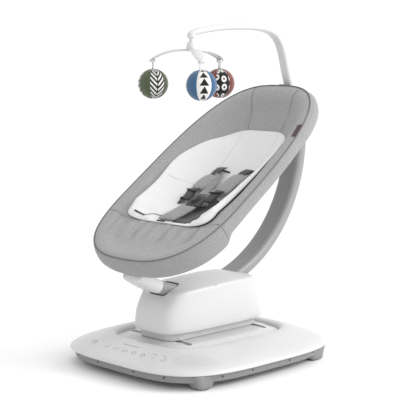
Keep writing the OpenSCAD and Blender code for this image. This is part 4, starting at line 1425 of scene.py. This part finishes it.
def pad_edge(name, a, b, width):
    """The stitched edge line round a pad."""
    start, end = Vector(a), Vector(b)
    along = (end - start).normalized()
    across = Vector((along.y, -along.x, 0)).normalized()
    length = (end - start).length
    path = [seat_to_world(*(start + along * (q + length / 2) + across * p))
            for p, q in round_bar(width, length, 0.3 * width, 8)]
    up = (0, -math.sin(TILT), math.cos(TILT))
    return sweep(name, path, round_bar(1.2, 1.2, 0.5, 2), side=up, closed=True)


def make_pads():
    """Shoulder pads with their flaps, the crotch pad, and the buckle's pad with its edge."""
    for side, name in ((-1, "left"), (1, "right")):
        low = (-44, -25, -52) if side < 0 else (38, -27, -52)
        high = (-38, 41, -60) if side < 0 else (43, 52, -61)
        pad = pad_form("shoulder_pad_" + name, low, high, 43, 9, bow=2.5)
        puff(pad, 3.0)
        dress(pad, MATS["pad_fabric"], "seat", ["shoulder_pads"] if side < 0 else [])
        knots = [(side * 25, 44, -60), (side * 16, 12, -57), (side * 11, -20, -53), (side * 8, -38, -49)]
        flap = ribbon("pad_flap_" + name, knots, 18, 2.4, [(0, -38 * side), (1, -12 * side)])
        dress(flap, MATS["band_fabric"], "seat")
    crotch = pad_form("crotch_pad", (1, -90, -38), (0, -166, -12), 55, 8, bow=-1, taper=0.06, corner=0.1)
    puff(crotch, 3.0)
    dress(crotch, MATS["band_fabric"], "seat", ["crotch_strap"])
    low, high = (BUCKLE_X, -89, -45), (BUCKLE_X, -45, -48.5)
    cover = pad_form("buckle_pad", low, high, 50, 8, bow=1.5, corner=0.25)
    puff(cover, 1.0)
    dress(cover, MATS["dark_fabric"], "seat", ["buckle_body"])
    dress(pad_edge("pad_edges", low, high, 50), MATS["webbing"], "seat")


def on_buckle(radius, n):
    """A ring of points round the buckle's middle, at height n over the rim's plane."""
    return [seat_to_world(BUCKLE_X + p, BUCKLE_U + q, n) for p, q in circle(radius, 40)]


def make_harness():
    """The webbing that shows between the pads, the two clips, and the buckle's ring and button."""
    clip_rows = ((-46, 24, 34, 6), (-45, 27, 38, 7), (-41.5, 27, 38, 7), (-40, 24, 34, 6), (-39.6, 18, 28, 4))
    straps, clips = [], []
    for side in (-1, 1):
        for name, knots in (("shoulder_strap", [(40, 42, -59), (42, 60, -61), (43, 78, -68)]),
                            ("lower_strap", [(40, -22, -47), (39, -36, -44), (38, -48, -42)])):
            straps.append(ribbon(name, [(side * x, u, n) for x, u, n in knots], 25, 2))
        knots = [(side * x, u, n) for x, u, n in ((46, -62, -44), (54, -65, -46), (62, -68, -50))]
        straps.append(ribbon("waist_strap", knots, 25, 2, [(0, 4 * side), (1, 8 * side)]))
        rings = [[seat_to_world(side * 38 + p + side * 0.22 * q, -48 + q, n) for p, q in round_bar(w, l, r)]
                 for n, w, l, r in clip_rows]
        clips.append(loft("clip", rings, sharp=40))
        bar = [seat_to_world(side * 38 + t * 15, -38 + t * side * 2, -38.4) for t in (-1, -0.5, 0, 0.5, 1)]
        clips.append(sweep("clip_bar", bar, round_bar(4.5, 3.4, 1.5, 4), side=(0, 1, 0), sharp=45))
        hook = [seat_to_world(side * (50 - 4 * t), -64 - 5 * math.sin(math.pi * t), -41 + 2 * t)
                for t in (0, 0.35, 0.7, 1)]
        clips.append(sweep("clip_hook", hook, round_bar(5, 3, 1.3, 4), side=(0, 1, 0), sharp=45))
    dress(join("harness_webbing_skin", straps), MATS["webbing"], "seat", ["harness_webbing"])
    bezel_rows = ((9.4, -43), (9.4, -37.4), (10, -36.8), (11.6, -37.4), (13, -40), (13, -43))
    clips.append(loft("bezel", [on_buckle(r, n) for r, n in bezel_rows], closed=True, sharp=40))
    dress(join("buckle_tongues_skin", clips), MATS["black_plastic"], "seat",
          ["buckle_tongues"])
    button_rows = ((8.6, -37.2), (8.6, -35.6), (8.1, -34.8), (6, -34.5), (1, -35))
    button = loft("buckle_button_skin", [on_buckle(r, n) for r, n in button_rows], sharp=45)
    dress(button, MATS["dark_plastic"], "buckle_button", ["buckle_button"])


def make_tag():
    """Blank leather tag, sewn flat on the rim just inside the piping."""
    rim = rim_outline(440)
    out = outward(rim)
    chosen = [k for k in range(440) if rim[k][0] > 0 and 131 < rim[k][1] < 176]
    rings = []
    for k in chosen:
        u = rim[k][1]
        upper, lower = [], []
        for i in range(7):
            t = i / 6
            inset = 2.6 + 12.5 * t
            px, pu = rim[k][0] - out[k][0] * inset, u - out[k][1] * inset
            top = rim_rise(u) + 2.6 - 0.9 * t - 0.5 * (2 * t - 1) ** 8
            upper.append(seat_to_world(px, pu, top))
            lower.append(seat_to_world(px, pu, top - 2.2))
        rings.append(upper + lower[::-1])
    tag = loft("side_tag_skin", rings, sharp=45)
    dress(tag, MATS["tag_leather"], "seat", ["side_tag"])


def make_seat():
    make_sling()
    make_band()
    seam_cords()
    make_liner()
    make_crotch_panel()
    make_liner_details()
    make_pads()
    make_harness()
    make_tag()


make_camera()
make_studio()
make_floor()
dress_cad_nodes()
make_base_cover()
make_deck()
make_tray()
make_feet()
make_controls()
make_speaker_grille()
make_neck()
make_tower()
make_arc_tube()
make_mobile_arm()
make_spider()
make_ball("ball_green", 210, "ball_green", "print_chevrons", math.radians(6))
make_ball("ball_blue", 330, "ball_blue", "print_triangles", math.radians(-2))
make_ball("ball_red", 90, "ball_red", "print_rings", math.radians(0))
make_knob()
make_seat()
